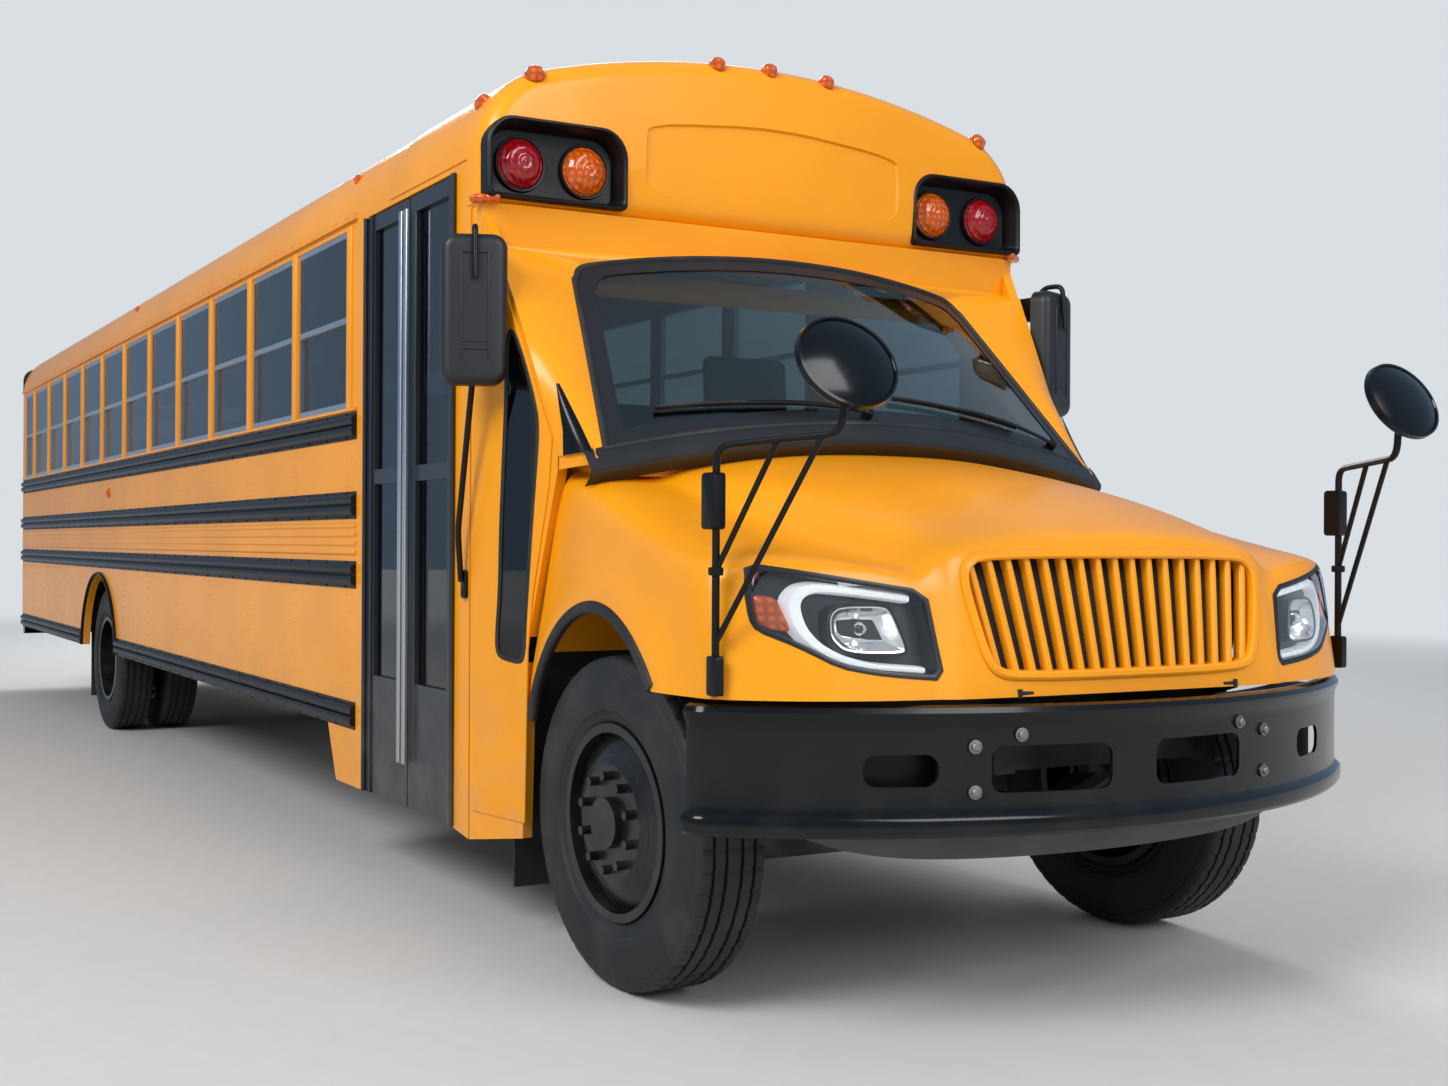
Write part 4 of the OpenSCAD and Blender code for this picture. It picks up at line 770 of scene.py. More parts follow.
# The foot is raised, so that it clears the chassis as the hood tilts
GRILLE[:, 1] += 0.022 * np.clip((1.12 - GRILLE[:, 1]) / 0.12, 0, 1)
LAMP = smooth_outline(((0.652, 1.004), (0.759, 1.013), (0.842, 1.022), (0.936, 1.040), (1.040, 1.098),
                       (1.119, 1.134), (1.133, 1.165), (1.137, 1.241), (1.127, 1.310), (1.009, 1.290),
                       (0.865, 1.266), (0.678, 1.237), (0.666, 1.125)), 1)


def opening(outline):
    """A cutter of an outline (y, z) that goes through the nose's wall along X."""
    rows = [np.column_stack((np.full(len(outline), x), outline)) for x in (AXLE_X + 0.45, AXLE_X + 1.1)]
    return Shape().grid(np.array(rows), close_columns=True, caps=True)


cut(hood, opening(GRILLE))
cut(hood, opening(LAMP))
cut(hood, opening(LAMP[::-1] * (-1, 1)))
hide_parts("hood")
print("hood", len(hood.data.polygons), "faces")

# %% [markdown]
# ## Grille
# The grille is a moulded frame with seventeen upright slats that bow with the nose, in front of
# a black screen. A slat is a narrow profile carried along an upright path, and the slats lean
# outwards in step with the sides of the opening.

# %% Grille
grille = Shape()
rim = np.array([on_nose(inset(GRILLE, d), proud) for d, proud in
                ((-0.020, -0.004), (-0.018, 0.006), (-0.010, 0.012), (0.002, 0.012), (0.008, 0.006),
                 (0.009, -0.034), (-0.012, -0.034))])
grille.grid(rim, close_rows=True, close_columns=True)
SLATS = 17
slat_profile = round_outline(0.023, 0.032, 0.008, 3)
for k in range(SLATS):
    across = (k + 0.5) / SLATS * 2 - 1
    z = np.linspace(1.004, 1.34, 14)
    y = across * (0.495 + 0.075 * (z - 0.985) / 0.355)
    path = np.column_stack((nose_x(y, z) - 0.018, y, z))
    rows = (path[:, None] + slat_profile[None, :, :1] * np.array((0.0, 1.0, 0.0))
            + slat_profile[None, :, 1:] * np.array((1.0, 0.0, 0.0)))
    grille.grid(rows[:, ::-1], close_columns=True, caps=True)
grille_piece = grille.make("grille_frame_and_slats", yellow, "hood", "school_yellow")
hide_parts("grille")
screen = Shape()
plate_rows = np.array([on_nose(inset(GRILLE, d), proud) for d, proud in
                       ((-0.015, -0.085), (-0.015, -0.075), (0.06, -0.078), (0.14, -0.080))])
screen.grid(plate_rows[:, ::-1], close_columns=True, caps=True)
screen.make("grille_screen", grille_black, "hood", "radiator_black")

# %% [markdown]
# ## Headlights
# Each headlight is a black tray let into the nose, with a light guide shaped like a C, a chrome
# reflector bowl, an amber turn lamp and a red corner reflector, all under one clear cover that
# continues the nose's own curve. The parts share the nose's surface, each at its own depth.

# %% Headlights
guide_white = Paint("guide_white")
glow = guide_white.noise(30.0)
guide_white.set(Base_Color=guide_white.blend((0.80, 0.83, 0.86), (0.86, 0.88, 0.90), glow),
                Roughness=glow * 0.1 + 0.22, Emission_Color=(0.9, 0.95, 1.0, 1.0), Emission_Strength=0.35)
guide_white = guide_white.material
lamp_black = moulded("lamp_black", (0.010, 0.010, 0.012), 0.30, 400.0, 0.0003, 0.0)


def nose_layers(shape, outline, layers, close=True):
    """Rows of an outline on the nose, each (inset, proud), closed with a face at both ends."""
    rows = np.array([on_nose(inset(outline, d) if d else outline, proud) for d, proud in layers])
    return shape.grid(rows, close_columns=True, caps=close)


def nose_sheet(outline, proud, margin, rows=24, columns=40):
    """A sheet inside an outline (y, z): upright rows that end on the outline's lower and upper edges."""
    line = inset(outline, margin)
    right, left = np.argmin(line[:, 0]), np.argmax(line[:, 0])
    loop = np.roll(line, -right, axis=0)
    turn = (left - right) % len(line)
    lower, upper = loop[:turn + 1], np.concatenate((loop[turn:], loop[:1]))[::-1]
    y = np.linspace(line[:, 0].min(), line[:, 0].max(), columns)
    z0, z1 = np.interp(y, lower[:, 0], lower[:, 1]), np.interp(y, upper[:, 0], upper[:, 1])
    t = np.linspace(0, 1, rows)[:, None]
    z = z0 * (1 - t) + z1 * t
    y = y + np.zeros_like(z)
    return np.stack((nose_x(y, z) + proud, y, z), axis=-1)


def nose_strap(shape, path, widths, proud, rise):
    """A strap of changing width along a path (y, z) on the nose, rounded like a D."""
    path = smooth_path(np.column_stack((path, np.zeros(len(path)))), 4)[:, :2]
    widths = np.interp(np.linspace(0, 1, len(path)), np.linspace(0, 1, len(widths)), widths)
    way = np.gradient(path, axis=0)
    way /= np.linalg.norm(way, axis=1, keepdims=True)
    side = np.column_stack((-way[:, 1], way[:, 0]))
    rows = []
    for across, up in ((-1, 0.0), (-0.92, 0.6), (-0.6, 0.95), (0, 1.0), (0.6, 0.95), (0.92, 0.6), (1, 0.0)):
        rows.append(on_nose(path + side * across * widths[:, None] / 2, proud + up * rise))
    rows = np.array(rows).transpose(1, 0, 2)
    return shape.grid(rows, close_columns=True, caps=True)


AMBER = smooth_outline(((1.036, 1.128), (1.085, 1.138), (1.119, 1.157), (1.121, 1.230), (1.066, 1.221),
                        (1.055, 1.186)), 2)
RED = smooth_outline(((1.121, 1.247), (1.123, 1.296), (1.092, 1.290)), 2)
BOWL = smooth_outline(((0.757, 1.074), (0.908, 1.077), (0.945, 1.116), (0.942, 1.174), (0.915, 1.197),
                       (0.806, 1.198),
                       (0.780, 1.187), (0.746, 1.087)), 2)
GUIDE = ((0.720, 1.217), (0.80, 1.228), (0.87, 1.237), (0.955, 1.246), (1.000, 1.236), (1.022, 1.205),
         (1.018, 1.160),
         (1.000, 1.122), (0.965, 1.086), (0.911, 1.058), (0.839, 1.040), (0.770, 1.034), (0.694, 1.028))
GUIDE_W = (0.026, 0.027, 0.028, 0.032, 0.040, 0.045, 0.044, 0.038, 0.032, 0.027, 0.023, 0.021, 0.020)
tray = Shape()
nose_layers(tray, LAMP, ((-0.004, -0.070), (-0.004, 0.0025), (0.004, 0.0035), (0.011, 0.001), (0.013, -0.050)),
            close=False)
tray.grid(nose_sheet(LAMP, -0.052, 0.004))
nose_layers(tray, inset(BOWL, -0.008), ((0.0, -0.060), (0.0, -0.012), (0.006, -0.008), (0.008, -0.012),
                                        (0.010, -0.045)))
tray.mirrored()
tray_piece = tray.make("headlight_trays", lamp_black, "hood", "headlight_lens")
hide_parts("headlights")
guide = nose_strap(Shape(), GUIDE, GUIDE_W, -0.055, 0.042)
guide.mirrored().make("headlight_guides", guide_white, "hood", "headlight_lens")
bowl = nose_layers(Shape(), BOWL, ((0.0, -0.058), (0.0, -0.012), (0.004, -0.013), (0.014, -0.030),
                                   (0.030, -0.044),
                                   (0.044, -0.050)))
bowl.mirrored().make("headlight_bowls", chrome, "hood", "headlight_lens")
bulb = Shape()
bulb_profile = [(0.0005, 0.0), (0.016, 0.0), (0.019, 0.006), (0.018, 0.014), (0.012, 0.022), (0.0005, 0.025)]
turned(bulb, bulb_profile, (float(nose_x(0.85, 1.137)) - 0.050, 0.85, 1.137), (1, 0, 0), 32)
bulb.mirrored().make("headlight_bulbs", clear_lens, "hood", "headlight_lens")
amber_turn = nose_layers(Shape(), AMBER, ((0.0, -0.058), (0.0, -0.014), (0.004, -0.010), (0.014, -0.008)))
amber_turn.mirrored().make("headlight_turn_lamps", amber_lens, "hood", "lamp_lens")
corner_red = nose_layers(Shape(), RED, ((0.0, -0.058), (0.0, -0.014), (0.003, -0.010), (0.007, -0.009)))
corner_red.mirrored().make("headlight_corner_reflectors", red_lens, "hood", "lamp_lens")
cover = Shape().grid(nose_sheet(LAMP, 0.0022, 0.011))
cover.grid(nose_sheet(LAMP, -0.0010, 0.011)[::-1])
cover.mirrored().make("headlight_covers", clear_lens, "hood", "headlight_lens")
# %% [markdown]
# ## Front cap
# The cap is the rounded brow over the windshield. Its outline is the body's own end shape:
# upright sides, a round eave and a shallow crown. Rows of that outline run forward, turn over
# a rounded edge and shrink towards the middle of the front face, which bulges a little. The
# lamp recesses and the shallow panel between them are cut from it.

# %% Body outline
EAVE_R, CROWN_R, ROOF_Z = 0.33, 3.6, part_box("roof")[1][2]
EAVE_Y = HALF_W - EAVE_R
EAVE_Z = ROOF_Z - CROWN_R + ((CROWN_R - EAVE_R) ** 2 - EAVE_Y ** 2) ** 0.5
EAVE_END = pi / 2 - np.arcsin(EAVE_Y / (CROWN_R - EAVE_R))


def roof_line(eave_steps=14, crown_steps=24):
    """The body's end outline above the eaves as (y, z), from the driver's side over to the other."""
    a = np.linspace(0, EAVE_END, eave_steps)
    eave = np.column_stack((EAVE_Y + EAVE_R * np.cos(a), EAVE_Z + EAVE_R * np.sin(a)))
    b = np.linspace(EAVE_END, pi - EAVE_END, crown_steps)[1:-1]
    crown = np.column_stack((CROWN_R * np.cos(b), ROOF_Z - CROWN_R + CROWN_R * np.sin(b)))
    return np.concatenate((eave, crown, eave[::-1] * (-1, 1)))


def at_x(x, outline):
    """An outline (y, z) set at a station."""
    return np.column_stack((np.full(len(outline), x), outline))


# %% Front cap
CAP_LOW_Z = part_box("front_cap")[0][2]
CAP_REAR_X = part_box("front_cap")[0][0]
CAP_EDGE, CAP_FACE_X, PROUD = 0.085, CAP_FRONT_X - 0.012, 0.006


def shrink(outline, distance):
    """Moves an end outline towards a level line along the cap's middle, which never folds it over."""
    core = np.column_stack((np.clip(outline[:, 0], -0.90, 0.90), np.full(len(outline), 2.86)))
    way = core - outline
    return outline + distance * way / np.linalg.norm(way, axis=1, keepdims=True)


low_side = np.column_stack((np.full(8, HALF_W), np.linspace(CAP_LOW_Z + 0.02, EAVE_Z, 9)[:-1]))
low_edge = np.column_stack((np.linspace(-HALF_W + 0.02, HALF_W - 0.02, 40), np.full(40, CAP_LOW_Z)))
cap_outline = np.concatenate((low_side, roof_line(), low_side[::-1] * (-1, 1), low_edge))
rows = [at_x(CAP_REAR_X, cap_outline), at_x(CAP_REAR_X + 0.012, shrink(cap_outline, -PROUD * 0.7))]
rows += [at_x(x, shrink(cap_outline, -PROUD))
         for x in np.linspace(CAP_REAR_X + 0.03, CAP_FACE_X - CAP_EDGE, 14)]
for a in np.linspace(0, pi / 2, 9)[1:]:
    rows.append(at_x(CAP_FACE_X - CAP_EDGE * (1 - sin(a)),
                     shrink(cap_outline, CAP_EDGE * (1 - cos(a)) - PROUD)))
face = rows[-1]
centre = np.array((CAP_FACE_X, 0.0, (CAP_LOW_Z + ROOF_Z) / 2))
for f in np.linspace(0.94, 0.04, 13):
    ring = centre + (face - centre) * (1, f, f)
    ring[:, 0] += 0.012 * (1 - f * f)
    rows.append(ring)
cap = Shape().grid(np.array(rows), close_columns=True, caps=True)
cap_piece = cap.make("front_cap_skin", yellow, "body", "school_yellow", sharp=40)
BOX_Y, BOX_Z, BOX_W, BOX_H = 0.936, 2.709, 0.560, 0.290


def box_outline(margin, height=BOX_H):
    """A lamp box's outline (y, z) about its centre: wide round corners above, tight ones below."""
    high, low = 0.105 - margin * 0.6, 0.022
    w, h = BOX_W / 2 - margin, height / 2 - margin
    turn = lambda cy, cz, r, start: np.column_stack((cy + r * np.cos(np.linspace(start, start + pi / 2, 8)),
                                                     cz + r * np.sin(np.linspace(start, start + pi / 2, 8))))
    return np.concatenate((turn(w - high, h - high, high, 0), turn(high - w, h - high, high, pi / 2),
                           turn(low - w, low - h, low, pi), turn(w - low, low - h, low, 3 * pi / 2)))


recess = np.array([at_x(x, box_outline(0.0) + (BOX_Y, BOX_Z))
                   for x in (CAP_FRONT_X - 0.082, CAP_FRONT_X + 0.1)])
cut(cap_piece, Shape().grid(recess, close_columns=True, caps=True).mirrored())
panel = smooth_outline(((-0.585, 2.605), (0.585, 2.605), (0.585, 2.82), (0.575, 2.90), (0.0, 2.95),
                        (-0.575, 2.90),
                        (-0.585, 2.82)), 2)
panel_rows = np.array([at_x(CAP_FRONT_X - 0.011, inset(panel, 0.012)), at_x(CAP_FRONT_X + 0.004, panel),
                       at_x(CAP_FRONT_X + 0.1, panel)])
cut(cap_piece, Shape().grid(panel_rows, close_columns=True, caps=True))
cut(cap_piece, prism(Shape(), ((3.20, 2.40), (BODY_FRONT_X - 0.03, 2.40), (BODY_FRONT_X - 0.03, 2.722),
                               (3.20, 2.722)), -1.4, 1.4))
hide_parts("front_cap")
print("front cap", len(cap_piece.data.polygons), "faces")

# %% [markdown]
# ## Warning lamps
# A warning lamp is a bowl with a domed lens. Both recesses hold a red lamp outside and an amber
# one inside, each in its own dish in a black moulded tray. A lens is turned from one profile,
# with low rings that real lenses are moulded with.

# %% Warning lamps
LENS_R, RED_Y, AMBER_Y = 0.087, 1.060, 0.802


def dome(radius, height, rings=3):
    """A lens profile (radius, height): a flange, then a shallow dome with moulded rings on it."""
    r = np.linspace(0.0005, radius * 0.93, 26)[::-1]
    rise = height * (1 - (r / radius) ** 2.2) + 0.0016 * np.cos(r / radius * 2 * pi * rings)
    return [(0.0005, -0.004), (radius, -0.004), (radius, 0.004), (radius * 0.95, 0.007), *zip(r, rise + 0.008)]


def lamp_dish(shape, centre, axis, radius):
    """The round dish behind a lens, with a rolled lip."""
    turned(shape, [(radius + 0.012, -0.012), (radius + 0.013, 0.0), (radius + 0.010, 0.006),
                   (radius + 0.004, 0.005),
                   (radius + 0.001, -0.004), (radius - 0.004, -0.012)], centre, axis, 48)


def lamp_boxes(trays, reds, ambers, x, box_z, height, depth, way):
    """Both trays at a station, a red lamp outside and an amber one inside; way is +1 facing forward."""
    for side in (-1, 1):
        front = axes_from((x, side * BOX_Y, box_z), (0, way, 0), (0, 0, 1))
        rows = []
        for d, out in ((0.0, -depth), (0.0, 0.003), (0.004, 0.008), (0.010, 0.009), (0.015, 0.004),
                       (0.018, -0.004),
                       (0.034, 0.006 - depth), (0.060, 0.002 - depth), (0.090, 0.001 - depth)):
            line = box_outline(d, height)
            rows.append(front(np.column_stack((line, np.full(len(line), out)))))
        trays.grid(np.array(rows), close_columns=True, caps=True)
        for y, lenses in ((RED_Y, reds), (AMBER_Y, ambers)):
            centre = (x - way * (depth - 0.010), side * y, box_z - 0.006)
            lamp_dish(trays, centre, (way, 0, 0), LENS_R)
            turned(lenses, dome(LENS_R, 0.040), centre, (way, 0, 0), 48)


trays, reds, ambers = Shape(), Shape(), Shape()
lamp_boxes(trays, reds, ambers, CAP_FRONT_X - 0.006, BOX_Z, BOX_H, 0.072, 1)
lamp_boxes(trays, reds, ambers, REAR_X - 0.036, BOX_Z + 0.12, BOX_H - 0.05, 0.030, -1)
tray_piece = trays.make("warning_lamp_trays", satin_black, "body", "lamp_black")
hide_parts("lamp_housings")

# %% [markdown]
# ## Markers and small lamps
# Clearance markers are small amber domes with a flat rim. They stand square to the
# skin under them, so each one is turned about the skin's own normal.

# %% Markers and small lamps
def marker(lenses, place, normal, radius=0.030, height=0.030):
    """A small domed marker lamp standing on the skin at place."""
    turned(lenses, [(0.0005, -0.004), (radius * 1.15, -0.004), (radius * 1.15, 0.004), (radius, 0.006),
                    (radius * 0.98, height * 0.4),
                    (radius * 0.8, height * 0.8), (radius * 0.4, height), (0.0005, height * 1.02)], place,
                    normal, 24)


def brow_point(y, front):
    """A point of the roof line at y and its normal, tipped forward by front (0 up to 1 ahead)."""
    line = roof_line(30, 60)
    k = int(np.argmin(np.abs(line[:, 0] - y)))
    along = line[min(k + 1, len(line) - 1)] - line[max(k - 1, 0)]
    out = np.array((along[1], -along[0])) / np.linalg.norm(along)
    lean = front * pi / 2
    skin = line[k] + out * (PROUD - CAP_EDGE * (1 - cos(lean)))
    x = CAP_FACE_X - CAP_EDGE * (1 - sin(lean))
    return (x, *skin), (sin(lean), *(cos(lean) * out))


for y in (-0.257, 0.0, 0.257):
    marker(ambers, *brow_point(y, 0.45))
for y in (-1.02, 1.02):
    marker(ambers, *brow_point(y, 0.45), 0.034, 0.032)
for side in (-1, 1):
    corner = axes_from((CAP_FRONT_X - 0.046, side * (HALF_W - 0.018), CAP_LOW_Z + 0.020),
                       (-0.7 * side, 1.0, 0.0), (0, 0, 1))
    plate(ambers, round_outline(0.110, 0.032, 0.014, 5), 0.030, 0.013, corner, steps=4)
    eave = (EAVE_Y + EAVE_R * cos(0.7)) * side, EAVE_Z + EAVE_R * sin(0.7)
    marker(ambers, (CAP_FRONT_X - 0.20, *eave), (0.0, side * cos(0.7), sin(0.7)), 0.034, 0.030)
    for x in (2.79, -1.49):
        low = (EAVE_Y + EAVE_R * cos(0.62)) * side, EAVE_Z + EAVE_R * sin(0.62)
        marker(ambers, (x, *low), (0.0, side * cos(0.62), sin(0.62)), 0.022, 0.020)
    turned(ambers, dome(0.034, 0.012, 2), (-2.115, side * (HALF_W + 0.001), 1.70), (0, side, 0), 24)
    for z in (1.650, 1.360):
        turned(reds, dome(0.078, 0.024), (REAR_X - 0.001, side * 1.059, z), (-1, 0, 0), 40)
red_piece = reds.make("red_lamps", red_lens, "body", "lamp_lens")
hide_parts("signal_lamps")
ambers.make("amber_lamps", amber_lens, "body", "lamp_lens")

# %% [markdown]
# ## Windshield surround
# The glass is one bowed sheet that leans back. In its own frame u runs across, v up the slope
# and n out of the glass, and the bow is an arc: n = BOW - R + sqrt(R * R - u * u). The painted
# surround is a strip from the glass's edge out to the side panels and up to the brow, so it is
# made from its two boundary curves, with a slight bulge between them.

# %% Windshield surround
FOOT_W, HEAD_W, GLASS_V = 1.03, 0.87, 0.87


def on_glass(u, v, n=0.0):
    """A point of the windshield's frame in space; n is measured from the bowed glass."""
    n = n + BOW - BOW_R + np.sqrt(BOW_R ** 2 - u ** 2)
    return np.stack(np.broadcast_arrays(WINDSHIELD_FOOT[0] - v * sin(SLOPE) + n * cos(SLOPE), u,
                                        WINDSHIELD_FOOT[2] + v * cos(SLOPE) + n * sin(SLOPE)), axis=-1)


def glass_edge(margin, corner=0.07, steps=8, span=30):
    """The glass's outline (u, v) set in by margin, from the curb side's foot round over the head."""
    half = lambda v: FOOT_W + (HEAD_W - FOOT_W) * v / GLASS_V - margin
    top = GLASS_V - margin
    v = np.linspace(margin, top - corner, span)
    side = np.column_stack((half(v), v))
    a = np.linspace(0, pi / 2, steps)[1:]
    turn = np.column_stack((half(top) - corner + corner * np.cos(a), top - corner + corner * np.sin(a)))
    u = np.linspace(half(top) - corner, -half(top) + corner, span * 2)[1:-1]
    head = np.column_stack((u, np.full(len(u), top)))
    return np.concatenate((side, turn, head, turn[::-1] * (-1, 1), side[::-1] * (-1, 1)))


edge = glass_edge(-0.004)
u, v = edge[:, 0], edge[:, 1]
inner = on_glass(u, v, 0.002)
COWL_TURN = radians(11.0)
COWL_EDGE = np.array(((4.612, 1.122, 1.645), (4.588, 1.126, 1.725), (4.462, 1.150, 1.98), (4.262, 1.190, 2.375),
                      (4.186, 1.203, 2.404)))
half = len(u) // 2
mark = np.array((0.0, 4.0, 13.0, 30.0, 37.0))
outer_side = np.stack([np.interp(np.arange(half), mark, COWL_EDGE[:, k]) for k in range(3)], axis=-1)
across = np.clip(1 - (np.arange(half) - 37.0) / (half - 37.0), 0, 1)
outer_side[37:] = np.stack((4.186 + 0.030 * (1 - across ** 2), 1.203 * across, np.full(half, 2.404)),
                           axis=-1)[37:]
outer = np.concatenate((outer_side, outer_side[::-1] * (1, -1, 1)))
if len(outer) < len(u):
    outer = np.insert(outer, half, (4.216, 0.0, 2.404), axis=0)


def surround_row(t):
    """The surround at share t of the way out from the glass; it bulges forwards in between."""
    row = inner * (1 - t) + outer * t
    bulge = np.clip((2.36 - row[:, 2]) / 0.5, 0, 1)
    row[:, 0] += 0.034 * sin(pi * t) * bulge
    row[:, 1] += 0.016 * sin(pi * t) * np.sign(u) * bulge
    return row


surround = Shape().grid(np.array([surround_row(t * t * (3 - 2 * t)) for t in np.linspace(0, 1, 14)]))
surround = surround.make("windshield_surround", yellow, "body", "school_yellow")
walls(surround, 0.006)
foot_window = Shape()
patch = np.array([surround_row(t)[:12] + (0.0035, 0.0030, 0.0) for t in np.linspace(0.24, 0.90, 9)])
patch = patch + (0.007, 0.007, 0.0)
squeeze = np.linspace(0, 1, 12)[None, :, None]
patch = patch * (1 - squeeze) + patch[5:6] * squeeze
foot_window.grid(patch[:, :11])
foot_window.mirrored().make("pillar_foot_windows", gloss_black, "body", "trim_black")

foot = np.array([surround_row(t)[0] for t in np.linspace(0, 1, 8)])
skirt = Shape().grid(np.array([foot + (dx, 0.0, dz) for dx,
                               dz in ((0.004, 0.004), (0.004, -0.042), (-0.004, -0.042), (-0.004, 0.004))]),
                     close_rows=True)
skirt.mirrored().make("windshield_foot_skirt", yellow, "body", "school_yellow")

# %% [markdown]
# The brow's underside slopes back from the cap's front edge to the head of the windshield.

# %% Brow soffit
soffit = Shape()
y = np.linspace(-1.212, 1.212, 60)
pull = np.clip((np.abs(y) - 1.10) / 0.112, 0, 1) ** 2
out = 0.030 * (1 - (y / 1.212) ** 2)
rows = [np.stack((np.full(60, 4.128), y, np.full(60, 2.392)), -1),
        np.stack((4.184 + out, y, np.full(60, 2.402)), -1),
        np.stack((4.192 + out * 0.8 - 0.006 * pull, y, np.full(60, 2.470)), -1),
        np.stack((4.208 + out * 0.5 - 0.020 * pull, y, np.full(60, 2.528)), -1),
        np.stack((4.222 - 0.030 * pull, y, np.full(60, CAP_LOW_Z + 0.006)), -1),
        np.stack((np.full(60, 4.128), y, np.full(60, CAP_LOW_Z + 0.006)), -1)]
soffit.grid(np.array(rows)[:, ::-1], close_rows=True, caps=False)
for end, flip in ((0, 1), (-1, -1)):
    ring = np.array([row[end] for row in rows])
    soffit.add(ring[::flip], [tuple(range(len(ring)))])
soffit.make("brow_soffit", yellow, "body", "school_yellow", merge=0.0001)

# %% [markdown]
# ## Quarter windows
# Behind each front wheel the cowl's side carries a tall bonded window that leans forwards.
# A thin panel gives the opening its shape, a rubber bead follows the edge, and a dark pane
# lies behind.

# %% Quarter windows
panel_way = np.array((cos(COWL_TURN), -sin(COWL_TURN), 0.0))
quarter_frame = axes_from((BODY_FRONT_X, HALF_W, 0.0), -panel_way, (0, 0, 1))
along = lambda points: np.array([((BODY_FRONT_X - x) / cos(COWL_TURN), z) for x, z in points])
skin = along(((4.142, 0.42), (4.142, 2.34), (4.262, 2.34), (4.575, 1.71), (4.560, 1.55), (4.480, 1.20),
              (4.452, 1.00), (4.440, 0.42)))
edge = smooth_outline(along((
    (4.292, 0.972), (4.278, 1.02), (4.296, 1.20), (4.300, 1.40), (4.312, 1.62), (4.326, 1.85),
    (4.328, 2.03), (4.345, 2.085), (4.372, 2.075), (4.420, 1.985), (4.470, 1.870), (4.500, 1.780),
    (4.502, 1.700), (4.486, 1.560), (4.462, 1.330), (4.440, 1.10), (4.436, 1.00), (4.420, 0.958))), 4)
edge, skin = anticlockwise(edge), anticlockwise(skin)
quarter = Shape()
plate(quarter, skin, 0.006, 0.003, quarter_frame, back=0.0005, steps=3)
hole = Shape().grid(quarter_frame(stacked(edge, (-0.05, 0.05))), close_columns=True, caps=True)
quarter_piece = quarter.mirrored().make("quarter_panels", yellow, "body", "school_yellow")
cut(quarter_piece, hole.mirrored())
bead, pane = Shape(), Shape()
line = quarter_frame(np.column_stack((edge, np.full(len(edge), 0.004))))
carry(bead, round_outline(0.018, 0.010, 0.004, 3), line, (sin(COWL_TURN), cos(COWL_TURN), 0.0), closed=True)
bead.mirrored().make("quarter_beads", soft_rubber, "body", "trim_black")
pane.grid(quarter_frame(stacked(edge, (0.0012, 0.0036))), close_columns=True, caps=True)
pane.mirrored().make("quarter_panes", side_tint, "body", "side_glass")

# %% [markdown]
# The glass sits in a black rubber channel, and a black band is printed round its edge. Below it
# a grained plastic cowl panel runs down to the hood.

# %% Windshield channel, band and cowl panel
def glass_ring(shape, layers, low=0.0):
    """Rows of (margin, n) round the glass, closed across its foot."""
    rows = []
    for margin, n in layers:
        line = glass_edge(margin)
        foot = np.column_stack((np.linspace(line[-1, 0], line[0, 0], 50)[1:-1], np.full(48, line[0, 1])))
        line = np.concatenate((line, foot))
        rows.append(on_glass(line[:, 0], line[:, 1], n))
    return shape.grid(np.array(rows)[:, ::-1], close_rows=len(layers) > 2, close_columns=True)


channel = glass_ring(Shape(), ((-0.012, 0.004), (-0.010, 0.013), (-0.003, 0.017), (0.006, 0.015),
                               (0.010, 0.008), (0.0, 0.003)))
channel.make("windshield_channel", soft_rubber, "body", "trim_black")
band = glass_ring(Shape(), ((0.008, 0.0085), (0.066, 0.0085)))
band.make("windshield_band", lamp_black, "body", "trim_black")
u = np.linspace(-FOOT_W - 0.074, FOOT_W + 0.074, 60)
cowl_panel = Shape()
rows = []
for v, n in ((0.012, 0.004), (0.004, 0.010), (-0.02, 0.013), (-0.05, 0.011), (-0.082, 0.008), (-0.092, -0.006),
             (-0.092, -0.056)):
    rows.append(on_glass(u, np.full(len(u), v), n))
cowl_panel.grid(np.array(rows)).make("cowl_panel", mirror_plastic, "body", "trim_black")
# %% [markdown]
# ## Tyres
# A tyre is one profile turned about the axle: bead, sidewall with its widest place at half
# height, shoulder, and a tread with four straight grooves. The grooves are in the profile, and
# the narrow slits across the ribs are cut in by lowering the tread at even angles, in the
# formula radius = profile radius - slit depth * comb(angle).

# %% Tyres
TYRE_LOW, TYRE_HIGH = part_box("front_tyre_left")
TYRE_R = (TYRE_HIGH[2] - TYRE_LOW[2]) / 2
TYRE_W = TYRE_HIGH[1] - TYRE_LOW[1]
RIM_R = 0.286


